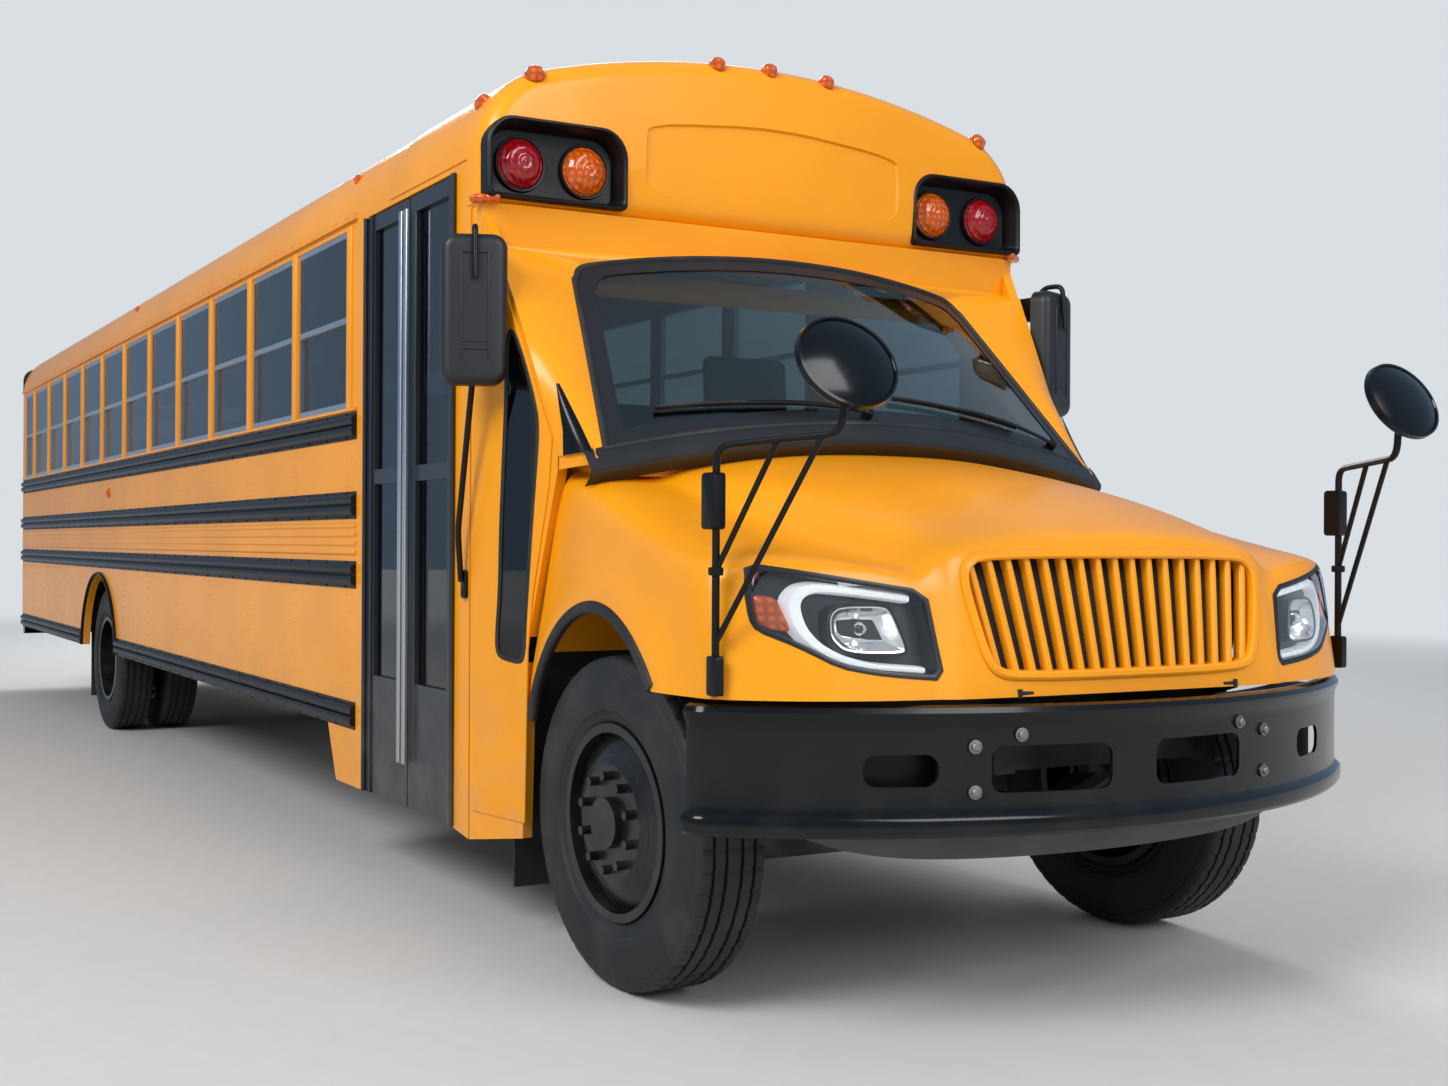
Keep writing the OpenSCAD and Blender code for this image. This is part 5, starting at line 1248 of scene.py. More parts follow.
def tyre_profile():
    """Half of the section as (radius, side), from the middle of the tread to the bead."""
    tread, crown = TYRE_W * 0.42, TYRE_R
    line = [(crown, 0.0)]
    for groove in (0.026, 0.068):
        line += [(crown - 0.0006, groove - 0.0062), (crown - 0.0125, groove - 0.0040),
                 (crown - 0.0125, groove + 0.0040),
                 (crown - 0.0008, groove + 0.0062)]
    line += [(crown - 0.002, tread - 0.016), (crown - 0.006, tread - 0.004), (crown - 0.014, tread + 0.003),
             (crown - 0.032, tread + 0.008), (crown - 0.036, tread + 0.006), (crown - 0.042, tread + 0.010)]
    low = RIM_R + 0.004
    line += [(crown - 0.075, TYRE_W / 2 - 0.008), (crown - 0.105, TYRE_W / 2 - 0.001),
             (crown - 0.125, TYRE_W / 2),
             (crown - 0.150, TYRE_W / 2 - 0.002), (crown - 0.168, TYRE_W / 2 - 0.007),
             (crown - 0.172, TYRE_W / 2 - 0.012),
             (low + 0.032, TYRE_W / 2 - 0.018), (low + 0.026, TYRE_W / 2 - 0.016),
             (low + 0.020, TYRE_W / 2 - 0.020),
             (low + 0.008, TYRE_W / 2 - 0.030), (low, TYRE_W / 2 - 0.034), (low, 0.085)]
    return np.array(line)


def tyre(shape, x, y, turns=288):
    """A whole tyre with its middle at (x, y), on the axle's height."""
    half = tyre_profile()
    profile = np.concatenate((half[::-1], half[1:] * (1, -1)))
    a = np.linspace(0, 2 * pi, turns, endpoint=False)
    radius = profile[:, 0][None, :] + 0 * a[:, None]
    on_rib = (profile[:, 0] > TYRE_R - 0.004)[None, :]
    slit = (np.arange(turns) % 6 == 0)[:, None]
    edge_block = (np.abs(profile[:, 1]) > 0.072)[None, :] & (profile[:, 0] > TYRE_R - 0.045)[None, :]
    lug = (np.arange(turns) % 6 == 0)[:, None]
    radius = radius - 0.0035 * (on_rib & slit) - 0.003 * (edge_block & lug)
    rows = np.stack((x + radius * np.cos(a)[:, None], y + profile[:, 1][None, :] + 0 * radius,
                     AXLE_Z + radius * np.sin(a)[:, None]), axis=-1)
    return shape.grid(rows, close_rows=True, close_columns=True)


for side in ("left", "right"):
    way = 1 if side == "left" else -1
    front = tyre(Shape(), AXLE_X, way * FRONT_TYRE_Y)
    front = front.make("front_tyre_" + side + "_tread", tyre_rubber, "front_wheel_" + side, "tyre")
    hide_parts("front_tyre_" + side)
    low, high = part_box("rear_tyres_" + side)
    outer_y = high[1] - TYRE_W / 2 if way > 0 else low[1] + TYRE_W / 2
    inner_y = low[1] + TYRE_W / 2 if way > 0 else high[1] - TYRE_W / 2
    pair = tyre(tyre(Shape(), REAR_AXLE_X, outer_y, 240), REAR_AXLE_X, inner_y, 240)
    pair = pair.make("rear_tyres_" + side + "_tread", tyre_rubber, "rear_wheels_" + side, "tyre")
    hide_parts("rear_tyres_" + side)
print("tyre", TYRE_R, TYRE_W, len(front.data.polygons), "faces")

# %% [markdown]
# ## Front bumper
# The bumper is one pressed steel section bent round the nose: a rolled top lip, a tall face
# and a step near the foot. The section is carried along the plan curve, which is an arc in the
# middle and turns back at the corners. Its slots are cut right through.

# %% Front bumper
BUMPER_LOW, BUMPER_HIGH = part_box("front_bumper")
BUMPER_HALF = BUMPER_HIGH[1]
BOW_RADIUS = 2.15


def bumper_plan(steps=80):
    """The plan curve (x, y): an arc about the bus's middle line whose ends turn back round a small corner."""
    radius = 0.075
    edge = BUMPER_HALF - 0.012
    limit = edge - radius * 0.42
    y = np.linspace(-limit, limit, steps)
    x = NOSE_X - 0.014 - BOW_RADIUS + np.sqrt(BOW_RADIUS ** 2 - y ** 2)
    start = np.arcsin(limit / BOW_RADIUS)
    a = np.linspace(start, pi / 2, 9)[1:]
    turn = np.column_stack((x[-1] + radius * (np.cos(a) - cos(start)),
                            limit + radius * (np.sin(a) - sin(start))))
    return np.concatenate((turn[::-1] * (1, -1), np.column_stack((x, y)), turn))


plan = bumper_plan()
bottom, top = BUMPER_LOW[2], BUMPER_HIGH[2]
face_out = [(-0.050, top - 0.004), (-0.020, top), (-0.004, top - 0.006), (0.004, top - 0.020),
            (0.002, top - 0.034),
            (-0.006, top - 0.050), (-0.008, top - 0.070), (-0.008, bottom + 0.085), (-0.006, bottom + 0.068),
            (0.008, bottom + 0.056), (0.012, bottom + 0.046), (0.010, bottom + 0.012), (0.002, bottom + 0.002),
            (-0.050, bottom)]
face_in = [(-0.050, bottom + 0.010), (-0.012, bottom + 0.010), (-0.004, bottom + 0.044),
           (-0.018, bottom + 0.070),
           (-0.018, top - 0.070), (-0.012, top - 0.012), (-0.050, top - 0.012)]
section = np.array(face_out + face_in)
path = np.column_stack((plan, np.zeros(len(plan))))
bumper = Shape()
carry(bumper, section * (1, 1), path, (0, 0, 1))
bumper_piece = bumper.make("front_bumper_section", gloss_black, "body", "bumper_black", sharp=50)


def slot(y, z, width, height, radius):
    """A cutter for one slot through the bumper's face."""
    outline = round_outline(width, height, radius) + (y, z)
    return Shape().grid(np.array([at_x(x, outline) for x in (NOSE_X - 0.45, NOSE_X + 0.1)]), close_columns=True,
                        caps=True)


SLOT_Z = top - 0.172
for y, w, h in ((-0.788, 0.19, 0.085), (0.788, 0.19, 0.085), (-0.366, 0.37, 0.125), (0.156, 0.36, 0.125)):
    cut(bumper_piece, slot(y, SLOT_Z, w, h, 0.035))
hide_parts("front_bumper")
print("bumper", len(bumper_piece.data.polygons), "faces")
# %% [markdown]
# ## Rub rails
# Black rolled rails run along the sides at seat, floor and sill height, and guard the panels.
# Each is a strip with two rounded ridges between bolted edges, carried straight along the bus.
# The section (out, up) is repeated for each rail, and small domed bolts follow both edges.

# %% Rub rails
RAIL_H, RAIL_OUT = 0.115, 0.026
RAIL_FRONT_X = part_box("rub_rails")[1][0]
RAIL_REAR_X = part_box("rub_rails")[0][0]
REAR_ARCH_R = 0.605


def rail_section():
    """Half circles of radius r make the two ridges; the edges lie flat on the panel."""
    a = np.linspace(-pi / 2, pi / 2, 9)
    ridge = lambda z: np.column_stack((0.004 + (RAIL_OUT - 0.004) * np.cos(a) ** 0.6, z + 0.021 * np.sin(a)))
    flat = lambda *points: np.array(points)
    return np.concatenate((flat((0.0003, 0.0), (0.004, 0.0), (0.004, 0.012)), ridge(0.0345), ridge(0.0805),
                           flat((0.004, 0.103), (0.004, RAIL_H), (0.0003, RAIL_H))))


def rail(shape, bolts, x0, x1, z, side):
    """One rail from x0 to x1 with its foot at z."""
    section = rail_section()
    x = np.linspace(x0, x1, max(2, int((x1 - x0) / 0.5)))
    rows = np.stack(np.broadcast_arrays(x[:, None], side * (HALF_W + section[None, :, 0]),
                                        z + section[None, :, 1]), -1)
    shape.grid(rows[:, ::side], close_columns=True, caps=True)
    for bx in np.arange(x0 + 0.05, x1 - 0.02, 0.25):
        for bz in (0.006, 0.109):
            turned(bolts, [(0.0003, 0.0), (0.0065, 0.0), (0.0050, 0.0035), (0.0003, 0.0045)],
                   (bx, side * (HALF_W + 0.004), z + bz), (0, side, 0), 6)


rails, bolts = Shape(), Shape()
arch_gap = REAR_ARCH_R + 0.012
for side in (-1, 1):
    for z in (1.794, 1.460, 1.167):
        rail(rails, bolts, RAIL_REAR_X, RAIL_FRONT_X, z, side)
    rail(rails, bolts, RAIL_REAR_X, REAR_AXLE_X - arch_gap, SKIRT_Z, side)
    rail(rails, bolts, REAR_AXLE_X + arch_gap, RAIL_FRONT_X, SKIRT_Z, side)
    start = np.arcsin((SKIRT_Z - AXLE_Z) / REAR_ARCH_R)
    a = np.linspace(start, pi - start, 60)
    hoop = np.column_stack((REAR_AXLE_X + (REAR_ARCH_R + 0.014) * np.cos(a),
                            np.full(60, side * (HALF_W + 0.006)),
                            AXLE_Z + (REAR_ARCH_R + 0.014) * np.sin(a)))
    carry(rails, round_outline(0.034, 0.014, 0.006, 3)[:, ::-1], hoop, (0, side, 0))
rail_piece = rails.make("rub_rails_rolled", satin_black, "body", "trim_black")
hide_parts("rub_rails")
bolts.make("rail_bolts", satin_black, "body", "trim_black")

# %% [markdown]
# ## Panel work
# The side skin is not plain: beads stiffen the panel between two rails, hat-shaped posts stand
# between the windows, a gutter runs along the eaves, and rows of rivets hold the sheets. They
# are thin strips that stand a few millimetres proud of the wall that the frame brings.

# %% Side panels
SILL_Z, HEAD_Z, PITCH, FIRST_POST_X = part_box("rub_rails")[1][2] + 0.022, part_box("window_frames")[1][2], 0.75, 2.86


def strip(shape, section, x0, x1, side):
    """A section (out, z) along the side from x0 to x1, in the order that faces out on the driver's side."""
    section = np.asarray(section)
    x = np.linspace(x0, x1, max(2, int((x1 - x0) / 0.75)))
    rows = np.stack(np.broadcast_arrays(x[:, None], side * (HALF_W + section[None, :, 0]), section[None, :, 1]),
                    -1)
    shape.grid(rows[:, ::side], close_columns=True, caps=True)


panels, rivets = Shape(), Shape()
for side in (-1, 1):
    rear, front = REAR_X + 0.02, RAIL_FRONT_X + (0.0 if side < 0 else 1.05)
    for k in range(4):
        z = 1.305 + 0.038 * k
        strip(panels, [(0.0, z), (0.006, z + 0.006), (0.008, z + 0.013), (0.006, z + 0.020), (0.0, z + 0.026)],
              rear, RAIL_FRONT_X, side)
    strip(panels, [(0.0, SILL_Z - 0.018), (0.012, SILL_Z - 0.016), (0.014, SILL_Z - 0.006),
                   (0.0, SILL_Z - 0.002)], rear, RAIL_FRONT_X, side)
    strip(panels, [(0.0, HEAD_Z + 0.030), (0.016, HEAD_Z + 0.026), (0.018, HEAD_Z + 0.040),
                   (0.014, HEAD_Z + 0.042),
                   (0.012, HEAD_Z + 0.032), (0.0, HEAD_Z + 0.036)], rear, RAIL_FRONT_X, side)
    for i in range(13):
        x = FIRST_POST_X - PITCH * i
        if x < rear + 0.03:
            continue
        post = axes_from((x, side * (HALF_W - 0.001), (SILL_Z + HEAD_Z) / 2), (-side, 0, 0), (0, 0, 1))
        plate(panels, round_outline(0.058, HEAD_Z - SILL_Z + 0.03, 0.004, 2), 0.010, 0.006, post, steps=3)
        for rx in (-0.022, 0.022):
            for z in np.arange(0.64, 1.10, 0.075):
                if abs(x - REAR_AXLE_X) > 0.70:
                    turned(rivets, [(0.0003, 0.0), (0.006, 0.0), (0.0045, 0.0028), (0.0003, 0.0036)],
                           (x + rx, side * HALF_W, z + 0.05), (0, side, 0), 6)
            for z in np.arange(1.60, 1.79, 0.06):
                turned(rivets, [(0.0003, 0.0), (0.006, 0.0), (0.0045, 0.0028), (0.0003, 0.0036)],
                       (x + rx, side * HALF_W, z), (0, side, 0), 6)
    for x in np.arange(rear + 0.05, RAIL_FRONT_X, 0.125):
        turned(rivets, [(0.0003, 0.0), (0.006, 0.0), (0.0045, 0.0028), (0.0003, 0.0036)],
               (x, side * HALF_W, HEAD_Z + 0.058), (0, side, 0), 6)
panels.make("side_panel_work", yellow, "body", "school_yellow")
rivets.make("side_rivets", yellow, "body", "school_yellow")

# %% [markdown]
# ## Roof bows
# The roof sheets lap over bows at every window post. Each lap is a low strip carried over the
# roof from eave to eave, in white where the roof is white.

# %% Roof bows
bows = Shape()
ridge = roof_line(10, 36)
white = ridge[(ridge[:, 1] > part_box("roof")[0][2] + 0.004)]
for i in range(12):
    x = FIRST_POST_X - PITCH * (i + 0.5)
    if x < REAR_X + 0.1:
        continue
    path = at_x(x, white)
    carry(bows, round_outline(0.004, 0.034, 0.0015, 2), path, (1, 0, 0))
bows.make("roof_bows", roof_white, "body", "roof_white")

# %% [markdown]
# ## Mirrors
# A flat mirror in a tall moulded housing stands out from each front corner on an arm, with a
# long brace down to the body. The crossview mirrors stand ahead of the fenders: each is an oval
# dome on a bent tube that two thinner braces steady.

# %% Side mirrors
MIRROR_X, MIRROR_Y, MIRROR_Z = AXLE_X - 0.665, HALF_W + 0.085, 2.150
shells, glasses, arms = Shape(), Shape(), Shape()
turn_in = radians(20.0)
frame_x = np.array((cos(turn_in), sin(turn_in), 0.0))
frame_y = np.array((-sin(turn_in), cos(turn_in), 0.0))
head = axes_from(np.array((MIRROR_X, MIRROR_Y, MIRROR_Z)) - 0.036 * frame_x, frame_y, (0, 0, 1))
shell_outline = round_outline(0.226, 0.510, 0.052, 8)
plate(shells, shell_outline, 0.080, 0.034, head, crown=0.004, steps=7)
for dy in (-0.046, 0.046):
    rib = axes_from(np.array((MIRROR_X, MIRROR_Y, MIRROR_Z + 0.01)) + 0.044 * frame_x + dy * frame_y, frame_y,
                    (0, 0, 1))
    plate(shells, round_outline(0.007, 0.36, 0.003, 3), 0.006, 0.002, rib, steps=2)
for dz, w in ((-0.11, 0.086), (-0.135, 0.086), (0.19, 0.086)):
    rib = axes_from(np.array((MIRROR_X, MIRROR_Y, MIRROR_Z + dz)) + 0.044 * frame_x, frame_y, (0, 0, 1))
    plate(shells, round_outline(w, 0.007, 0.003, 3), 0.006, 0.002, rib, steps=2)
back = axes_from(np.array((MIRROR_X, MIRROR_Y, MIRROR_Z)) - 0.037 * frame_x, -frame_y, (0, 0, 1))
plate(glasses, round_outline(0.196, 0.478, 0.040, 6), 0.002, 0.001, back, steps=2)
anchor = np.array((BODY_FRONT_X - 0.180, HALF_W + 0.004, 2.345))
bracket = axes_from(anchor, (-1, 0, 0), (0, 0, 1))
plate(arms, round_outline(0.062, 0.118, 0.012, 3), 0.016, 0.004, bracket, steps=2)
box_arm = np.linspace(anchor + (0.0, 0.014, 0.0), (MIRROR_X - 0.012, MIRROR_Y - 0.010, 2.345), 12)
carry(arms, round_outline(0.024, 0.100, 0.006, 3), box_arm, (0, 0, 1))
tube(arms, bent_path([(MIRROR_X - 0.05, MIRROR_Y - 0.03, 2.375), (MIRROR_X - 0.03, MIRROR_Y - 0.015, 2.428),
                      (MIRROR_X + 0.045, MIRROR_Y + 0.016, 2.428),
                      (MIRROR_X + 0.060, MIRROR_Y + 0.020, 2.25)], 0.03), 0.010)
tube(arms, bent_path([(BODY_FRONT_X - 0.028, HALF_W + 0.020, 1.225), (BODY_FRONT_X + 0.0, HALF_W + 0.045, 1.40),
                      (MIRROR_X - 0.040, MIRROR_Y - 0.018, 1.955),
                      (MIRROR_X - 0.012, MIRROR_Y - 0.004, 2.02)], 0.04), 0.011)
foot = axes_from((BODY_FRONT_X - 0.028, HALF_W + 0.002, 1.215), (-1, 0, 0), (0, 0, 1))
plate(arms, round_outline(0.040, 0.100, 0.010, 3), 0.012, 0.003, foot, steps=2)
for dz in (-0.030, 0.035):
    turned(arms, [(0.0004, 0.0), (0.009, 0.0), (0.008, 0.004), (0.0004, 0.006)],
           (BODY_FRONT_X - 0.028, HALF_W + 0.013, 1.215 + dz), (0, 1, 0), 10)
mirror_piece = shells.mirrored().make("side_mirror_housings", mirror_plastic, "body", "mirror_plastic")
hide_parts("side_mirrors")
glasses.mirrored().make("side_mirror_glass", chrome, "body", "mirror_plastic")
arms.mirrored().make("side_mirror_arms", satin_black, "body", "mirror_plastic")

# %% Crossview mirrors
FOOT = np.array((AXLE_X + 0.715, 1.224, 1.000))
ELBOW = np.array((AXLE_X + 1.035, 1.060, 1.640))
tubes, domes, faces = Shape(), Shape(), Shape()
bend = np.array((FOOT[0], FOOT[1], 1.620))
tube(tubes, bent_path([FOOT, bend, ELBOW, ELBOW + (0.010, 0.0, 0.150)], 0.045, 8), 0.0105)
tube(tubes, [bend + (0, 0, -0.33), (bend + ELBOW) / 2 + (0, 0, -0.002)], 0.008)
tube(tubes, [bend + (0, 0, -0.52), ELBOW * 0.85 + bend * 0.15 + (0, 0, -0.002)], 0.008)
foot_pad = axes_from((FOOT[0], FOOT[1] + 0.001, 1.015), (-1, 0, 0), (0, 0, 1))
plate(tubes, round_outline(0.046, 0.105, 0.008, 3), 0.014, 0.003, foot_pad, back=-0.012, steps=2)
turned(tubes, [(0.0104, -0.012), (0.020, -0.010), (0.021, 0.0), (0.020, 0.010), (0.0104, 0.012)],
       bend + (0, 0, -0.33), (0, 0, 1), 16)
box = axes_from((FOOT[0] - 0.012, FOOT[1] + 0.012, 1.475), (-1, 0, 0), (0, 0, 1))
plate(tubes, round_outline(0.058, 0.150, 0.012, 4), 0.010, 0.004, box, back=-0.030, steps=2)
tilt = radians(66.0)
nose_way = np.array((sin(tilt), 0.0, cos(tilt)))
rise = np.array((-cos(tilt), 0.0, sin(tilt)))
oval_centre = ELBOW + (0.014, 0.0, 0.172)
facing = axes_from(oval_centre, (0, -1, 0), rise)
oval = circle_outline(0.150, 56, 0.86)
rows = []
for d, out in ((0.140, -0.031), (0.118, -0.030), (0.080, -0.028), (0.040, -0.020), (0.012, -0.010),
               (0.010, -0.014), (0.002, -0.012), (0.0, 0.004), (0.004, 0.009), (0.010, 0.009)):
    line = oval * (1 - d / 0.150)
    rows.append(facing(np.column_stack((line, np.full(len(line), out)))))
domes.grid(np.array(rows), close_columns=True, caps=True)
for dy, dz in ((-0.06, 0.045), (-0.045, 0.042), (-0.02, -0.03), (0.05, -0.03), (0.03, -0.075), (-0.04, -0.075)):
    screw = facing(np.array([(dy, dz, -0.028 + 0.10 * (dy * dy + dz * dz) / 0.0225)]))[0]
    turned(tubes, [(0.0003, -0.004), (0.0055, -0.004), (0.0050, 0.0008), (0.0003, 0.0025)], screw, nose_way, 8)
rows = []
for d, out in ((0.010, 0.008), (0.030, 0.016), (0.060, 0.024), (0.100, 0.031), (0.130, 0.034), (0.149, 0.035)):
    line = oval * (1 - d / 0.150)
    rows.append(facing(np.column_stack((line, np.full(len(line), out)))))
faces.grid(np.array(rows), close_columns=True, caps=True)
cross_piece = tubes.mirrored().make("crossview_tubes", satin_black, "hood", "mirror_plastic")
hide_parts("crossview_mirrors")
domes.mirrored().make("crossview_backs", gloss_black, "hood", "mirror_plastic")
faces.mirrored().make("crossview_faces", chrome, "hood", "mirror_plastic")

# %% [markdown]
# ## Entry door trim
# Each leaf carries a bright upright strip at its closing edge. The trim rides with its own leaf.

# %% Entry door trim
def leaf_trim(node, strip_x):
    """The bright closing strip of a leaf at strip_x."""
    low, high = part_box(node)
    out_y = low[1] if abs(low[1]) > abs(high[1]) else high[1]
    strips = Shape()
    face = axes_from((strip_x, out_y + 0.001, (low[2] + high[2]) / 2 + 0.06), (1, 0, 0), (0, 0, 1))
    plate(strips, round_outline(0.030, high[2] - low[2] - 0.22, 0.003, 2), 0.010, 0.004, face, steps=3)
    return strips


front_low, rear_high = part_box("entry_door_front")[0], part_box("entry_door_rear")[1]
leaf_trim("entry_door_front", front_low[0] + 0.022).make("entry_strip_front", alloy, "entry_leaf_front",
                                                         "sash_alloy")
leaf_trim("entry_door_rear", rear_high[0] - 0.022).make("entry_strip_rear", alloy, "entry_leaf_rear",
                                                        "sash_alloy")

# %% [markdown]
# ## Wipers
# Each wiper has a cast arm from a capped pivot at the foot of the glass, and a blade with a
# rubber lip that lies on the bowed glass.

# %% Wipers
wiper_arms, blades = Shape(), Shape()
for u0 in (-0.06, 0.86):
    pivot = on_glass(np.array([u0]), np.array([0.034]), 0.012)[0]
    normal = np.array((cos(SLOPE), 0.0, sin(SLOPE)))
    turned(wiper_arms, [(0.0005, -0.010), (0.018, -0.010), (0.018, 0.022), (0.014, 0.028), (0.0005, 0.030)],
           pivot, normal, 24)
    t = np.linspace(0, 1, 16)
    u, v = u0 - 0.47 * t, 0.034 + 0.067 * t
    arm = on_glass(u, v, 0.030 + 0.010 * np.sin(pi * t) - 0.004 * t)
    carry(wiper_arms, round_outline(0.018, 0.009, 0.003, 2), arm, normal)
    u, v = u0 - 0.17 - 0.60 * t, 0.080 + 0.042 * t
    carry(blades, round_outline(0.010, 0.012, 0.003, 2), on_glass(u, v, 0.026), normal)
    carry(blades, round_outline(0.004, 0.012, 0.001, 1), on_glass(u, v, 0.017), normal)
wiper_piece = wiper_arms.make("wiper_arms", satin_black, "body", "trim_black")
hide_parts("wipers")
blades.make("wiper_blades", soft_rubber, "body", "trim_black")

# %% [markdown]
# ## Bumper fittings
# Bolt heads hold the bumper to its brackets beside the two tow openings, and a grained plastic
# air dam hangs below it. Both follow the bumper's own arc.

# %% Bumper fittings
fittings, dam = Shape(), Shape()
bumper_x = lambda y: NOSE_X - 0.014 - BOW_RADIUS + np.sqrt(BOW_RADIUS ** 2 - y ** 2)
for y, z in ((-0.60, 0.83), (-0.60, 0.71), (0.46, 0.83), (0.46, 0.71), (-0.47, 0.86), (0.33, 0.86)):
    place = (float(bumper_x(y)) - 0.002, y, z)
    normal = (1.0, y / BOW_RADIUS, 0.0)
    turned(fittings, [(0.0005, -0.004), (0.019, -0.004), (0.019, 0.001), (0.0125, 0.002), (0.0125, 0.008),
                      (0.009, 0.011), (0.0005, 0.011)],
           place, normal, 12)
fittings.make("bumper_bolts", dull_steel, "body", "bumper_black")
y = np.linspace(-0.92, 0.92, 50)
tip = 1 - (y / 0.92) ** 6
dam_rows = []
for dx, z in ((-0.14, 0.585), (-0.125, 0.585), (-0.135, 0.545), (-0.165, 0.505), (-0.215, 0.490),
              (-0.225, 0.500), (-0.170, 0.520), (-0.150, 0.555)):
    dam_rows.append(np.stack((bumper_x(y) + dx, y, 0.585 - (0.585 - z) * (0.25 + 0.75 * tip)), -1))
dam.grid(np.array(dam_rows)[:, ::-1], close_rows=True)
dam.make("bumper_air_dam", dash_plastic, "body", "bumper_black")

backing = Shape()
y = np.linspace(-1.12, 1.12, 50)
rows = [np.stack((bumper_x(y) + dx, y, np.full(50, z)), -1) for dx,
        z in ((-0.040, 0.900), (-0.040, 0.915), (-0.200, 0.915), (-0.200, 0.900))]
backing.grid(np.array(rows), close_rows=True)
for low, high in ((-1.10, -0.62), (0.62, 1.10)):
    y = np.linspace(low, high, 12)
    rows = [np.stack((bumper_x(y) + dx, y, np.full(12, z)), -1) for dx,
            z in ((-0.092, 0.64), (-0.092, 0.902), (-0.098, 0.902), (-0.098, 0.64))]
    backing.grid(np.array(rows), close_rows=True)
backing.make("bumper_backing", satin_black, "body", "bumper_black")

# %% [markdown]
# ## Stop arm border
# A plain white band follows the edge of the folded stop sign, which carries no lettering.

# %% Stop arm border
sign_low, sign_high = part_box("stop_arm")
sign_r = (sign_high[2] - sign_low[2]) / 2 / cos(pi / 8)
octagon = np.array([(cos(k), sin(k)) for k in np.linspace(0, 2 * pi, 8, endpoint=False) + pi / 8])
sign = axes_from((sign_low[0] + sign_r * cos(pi / 8), sign_high[1] - 0.0004, (sign_low[2] + sign_high[2]) / 2),
                 (-1, 0, 0), (0, 0, 1))
border = Shape()
rows = [sign(np.column_stack((octagon * r, np.full(8, out)))) for r,
        out in ((sign_r * 0.975, -0.001), (sign_r * 0.975, 0.0012), (sign_r * 0.915, 0.0012),
                (sign_r * 0.915, -0.001))]
border.grid(np.array(rows), close_rows=True, close_columns=True)
border.make("stop_arm_border", roof_white, "stop_arm", "stop_red")

# %% [markdown]
# ## Seats
# Every bench is a seat pad and a leaning back pad over a tube frame. A pad is a crowned form:
# its rows are the outline set in by e * (1 - cos a) at height h * sin a on both faces, and the
# outline is pulled in between its corners. A sewn piping follows the front edge. The driver's
# seat stands on a round pedestal.

# %% Seats
def pad(pads, piping, width, height, thick, frame, crown=0.010):
    """A stuffed pad centred in its frame (right, up, out), thick metres deep, with piping round its front."""
    outline = round_outline(width, height, 0.045, 5)
    reach = np.abs(outline / (width / 2, height / 2))
    outline = outline * (1 - 0.018 * np.cos(np.clip(reach[:, ::-1], 0, 1) * pi / 2))
    edge, deep = thick * 0.46, thick / 2 - crown
    rows = []
    for side in (-1, 1):
        ring = []
        for a in np.linspace(0, pi / 2, 6):
            line = inset(outline, edge * (1 - cos(a)))
            ring.append(np.column_stack((line, np.full(len(line), side * deep * sin(a)))))
        flat = ring[-1]
        for f in (0.85, 0.6, 0.3, 0.05):
            ring.append(np.column_stack((flat[:, :2] * f,
                                         np.full(len(flat), side * (deep + crown * (1 - f * f))))))
        rows = ring[::-1] + ring[1:] if side < 0 else rows[:len(ring)] + ring[1:]
    pads.grid(frame(np.array(rows)), close_columns=True, caps=True)
    line = inset(outline, edge * 0.30)
    path = frame(np.column_stack((line, np.full(len(line), deep * 0.72))))
    carry(piping, circle_outline(0.0035, 6), path, np.cross(path[1] - path[0], path[8] - path[0]), closed=True)


def leaning_back(origin_x, y, low_z, high_z, low_x, high_x):
    """A frame for a back pad between two heights, facing forwards, and the pad's height."""
    low, high = np.array((origin_x + low_x, y, low_z)), np.array((origin_x + high_x, y, high_z))
    return axes_from((low + high) / 2, (0, 1, 0), high - low), float(np.linalg.norm(high - low))


seat_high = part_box("passenger_seats")[1]
FLOOR_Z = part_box("floor")[1][2]
BENCH_W, BENCH_X, BENCH_PITCH = 0.960, 2.440, 0.700
bench_pads, piping, legs = Shape(), Shape(), Shape()
bench_y = seat_high[1] - BENCH_W / 2
for i in range(11):
    x = BENCH_X - BENCH_PITCH * i
    pad(bench_pads, piping, BENCH_W - 0.012, 0.420, 0.112,
        axes_from((x + 0.215, bench_y, 1.480), (0, 1, 0), (-1, 0, 0)), 0.014)
    back_frame, height = leaning_back(x, bench_y, 1.415, seat_high[2] - 0.006, -0.012, -0.064)
    pad(bench_pads, piping, BENCH_W - 0.012, height, 0.070, back_frame, 0.010)
    for y in (bench_y - BENCH_W / 2 + 0.078, bench_y + BENCH_W / 2 - 0.092):
        tube(legs, bent_path([(x + 0.038, y, FLOOR_Z + 0.004), (x + 0.038, y, 1.405), (x + 0.392, y, 1.405),
                              (x + 0.392, y, FLOOR_Z + 0.004)], 0.05), 0.013)
        for px in (0.038, 0.392):
            foot_plate = axes_from((x + px, y, FLOOR_Z), (1, 0, 0), (0, 1, 0))
            plate(legs, round_outline(0.060, 0.050, 0.008, 2), 0.006, 0.002, foot_plate, back=0.0006, steps=2)
bench_piece = bench_pads.mirrored().make("bench_pads", seat_vinyl, "body", "seat_vinyl", sharp=70)
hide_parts("passenger_seats")
piping.mirrored().make("bench_piping", seat_vinyl, "body", "seat_vinyl")
legs.mirrored().make("bench_legs", satin_black, "body", "seat_vinyl")

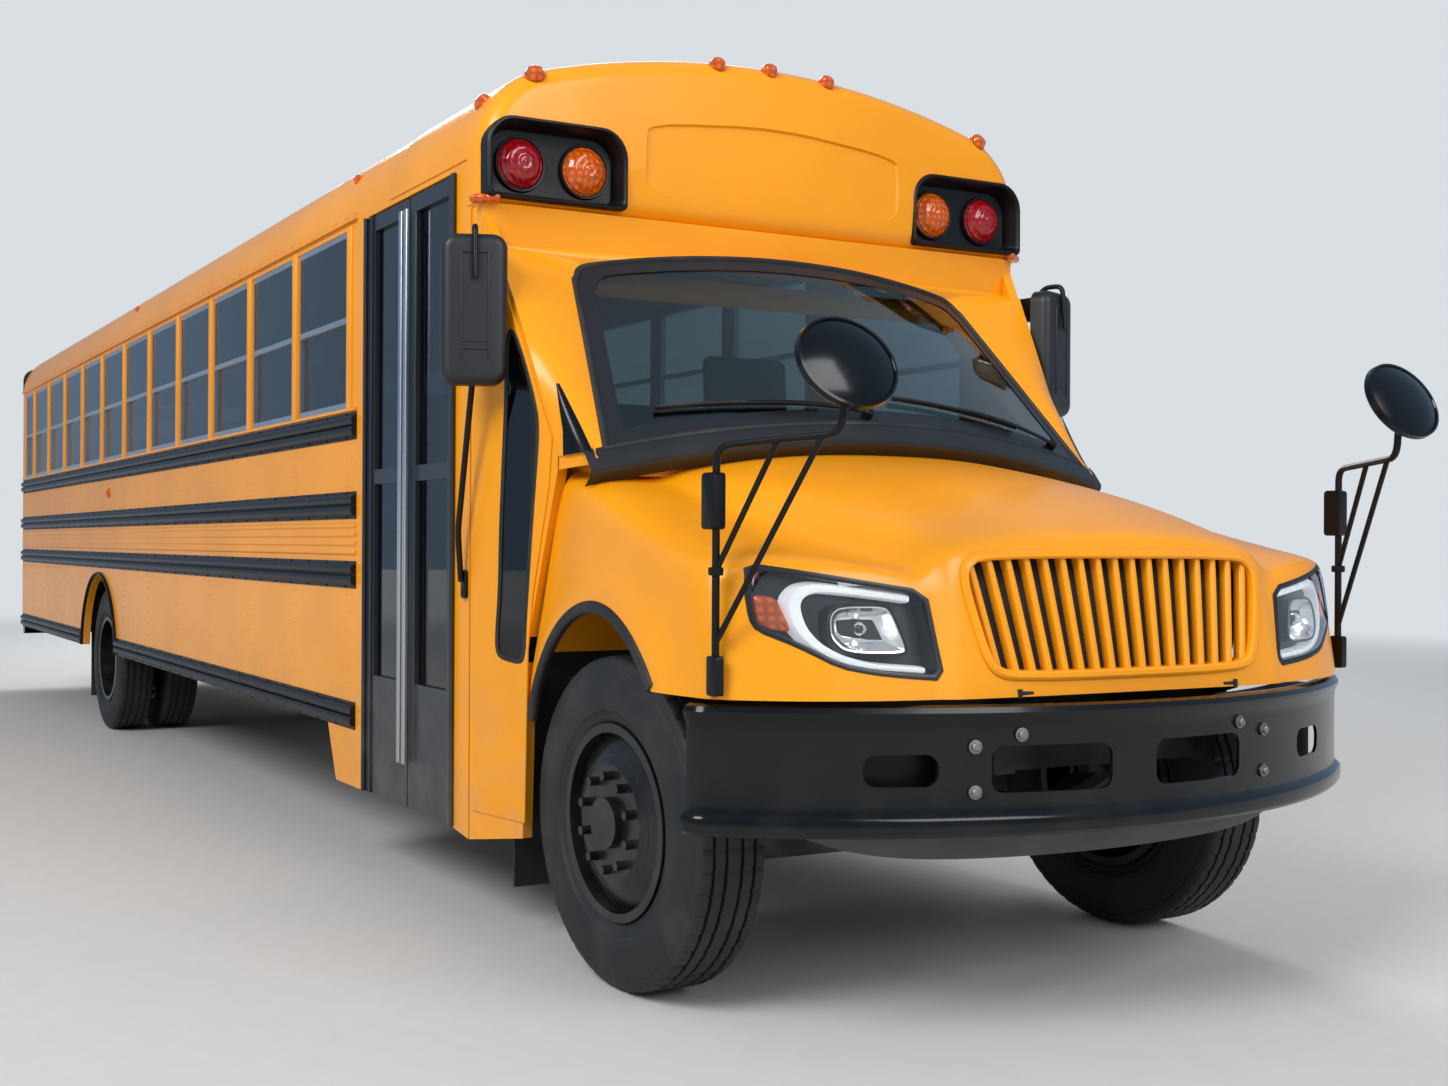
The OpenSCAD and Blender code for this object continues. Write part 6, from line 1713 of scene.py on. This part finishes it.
driver_low, driver_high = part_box("driver_seat")
DRIVER_Y = (driver_low[1] + driver_high[1]) / 2
DRIVER_X = driver_high[0] - 0.480
cushion, driver_piping, pedestal = Shape(), Shape(), Shape()
cushion_frame = axes_from((DRIVER_X + 0.240, DRIVER_Y, 1.510), (0, 1, 0), (-1, 0, 0))
pad(cushion, driver_piping, 0.470, 0.470, 0.112, cushion_frame, 0.014)
back_frame, height = leaning_back(DRIVER_X, DRIVER_Y, 1.480, driver_high[2] - 0.01, 0.020, -0.028)
pad(cushion, driver_piping, 0.440, height, 0.086, back_frame, 0.012)
driver_piece = cushion.make("driver_seat_pads", seat_cloth, "body", "seat_fabric", sharp=70)
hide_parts("driver_seat")
driver_piping.make("driver_seat_piping", seat_vinyl, "body", "seat_fabric")
folds = [(0.085 - 0.004 * (k % 2), 0.028 + 0.03 * k) for k in range(1, 10)]
pedestal_profile = [(0.001, 0.001), (0.118, 0.001), (0.118, 0.020), (0.085, 0.028), *folds,
                    (0.110, 0.335), (0.110, 0.355), (0.001, 0.355)]
turned(pedestal, pedestal_profile, (DRIVER_X + 0.22, DRIVER_Y, FLOOR_Z), (0, 0, 1), 32)
pedestal.make("driver_seat_pedestal", satin_black, "body", "seat_fabric")

# %% [markdown]
# ## Wheel arch lips
# A black rubber lip is pressed over the edge of each front arch. It follows the fender's own
# surface, so its path is the arch circle with the half width taken from the hood's formula.

# %% Front arch lips
lips = Shape()
a = np.linspace(-0.02, pi - 0.27, 70)
start = np.arcsin((0.957 - ARCH_Z) / ARCH_R)
a = np.linspace(start, pi - 0.30, 70)
x, z = AXLE_X + (ARCH_R + 0.004) * np.cos(a), ARCH_Z + (ARCH_R + 0.004) * np.sin(a)
y = hood_side(x, z) - 0.006
carry(lips, round_outline(0.040, 0.030, 0.012, 4), np.column_stack((x, y, z)), (0, 1, 0))
lips.mirrored().make("front_arch_lips", soft_rubber, "hood", "trim_black")
# %% Finishes of the nodes that keep their shape
FINISHES = {
    yellow: "side_wall_right side_wall_left front_cap rear_wall cowl rear_door hood grille",
    roof_white: "roof",
    door_grey: "entry_door_front entry_door_rear",
    chassis_black: "chassis_frame front_axle rear_axle fuel_tank radiator",
    dark_casting: "engine_block knuckle_left knuckle_right leaf_springs drive_shaft",
    dull_steel: "exhaust",
    floor_rubber: "floor step_well",
    satin_black: "rub_rails wipers crossview_mirrors lamp_housings",
    gloss_black: "front_bumper rear_bumper",
    alloy: "window_frames",
    side_tint: "side_glass entry_glass_front entry_glass_rear rear_door_glass",
    windshield_tint: "windshield",
    mirror_plastic: "side_mirrors",
    dash_plastic: "dashboard",
    soft_rubber: "mud_flaps",
    seat_vinyl: "passenger_seats",
    seat_cloth: "driver_seat",
    wheel_black: "front_wheel_left front_wheel_right rear_wheels_left rear_wheels_right",
    tyre_rubber: "front_tyre_left front_tyre_right rear_tyres_left rear_tyres_right",
    red_lens: "signal_lamps",
    stop_red: "stop_arm",
    chrome: "headlights",
}
for finish, names in FINISHES.items():
    for name in names.split():
        nodes[name].data.materials.clear()
        nodes[name].data.materials.append(finish)
assert sum(len(names.split()) for names in FINISHES.values()) == len(nodes)

# %% [markdown]
# ## Studio floor
# The floor is pale and plain, and far away it fades into the colour of the backdrop.

# %% Floor
floor_paint = Paint("studio_floor")
speck = floor_paint.noise(9.0, 4.0)
floor_paint.set(Base_Color=floor_paint.blend((0.56, 0.56, 0.555), (0.61, 0.61, 0.605), speck), Roughness=0.85)
x, y, z = floor_paint.axes()
distance = (x * x + y * y).between(85.0, 480.0)
far = floor_paint.node("Emission", {}, {"Color": (0.70, 0.735, 0.77, 1.0), "Strength": 1.0})
near = Value(floor_paint, floor_paint.shader.outputs[0])
mixed = floor_paint.node("MixShader", {}, {0: distance, 1: near, 2: far})
floor_paint.tree.links.new(mixed.socket, floor_paint.tree.nodes["Material Output"].inputs[0])
bpy.ops.mesh.primitive_circle_add(vertices=96, radius=70.0, fill_type="NGON", location=(0, 0, 0))
ground = bpy.context.object
ground.name = "studio_floor"
ground.data.materials.append(floor_paint.material)
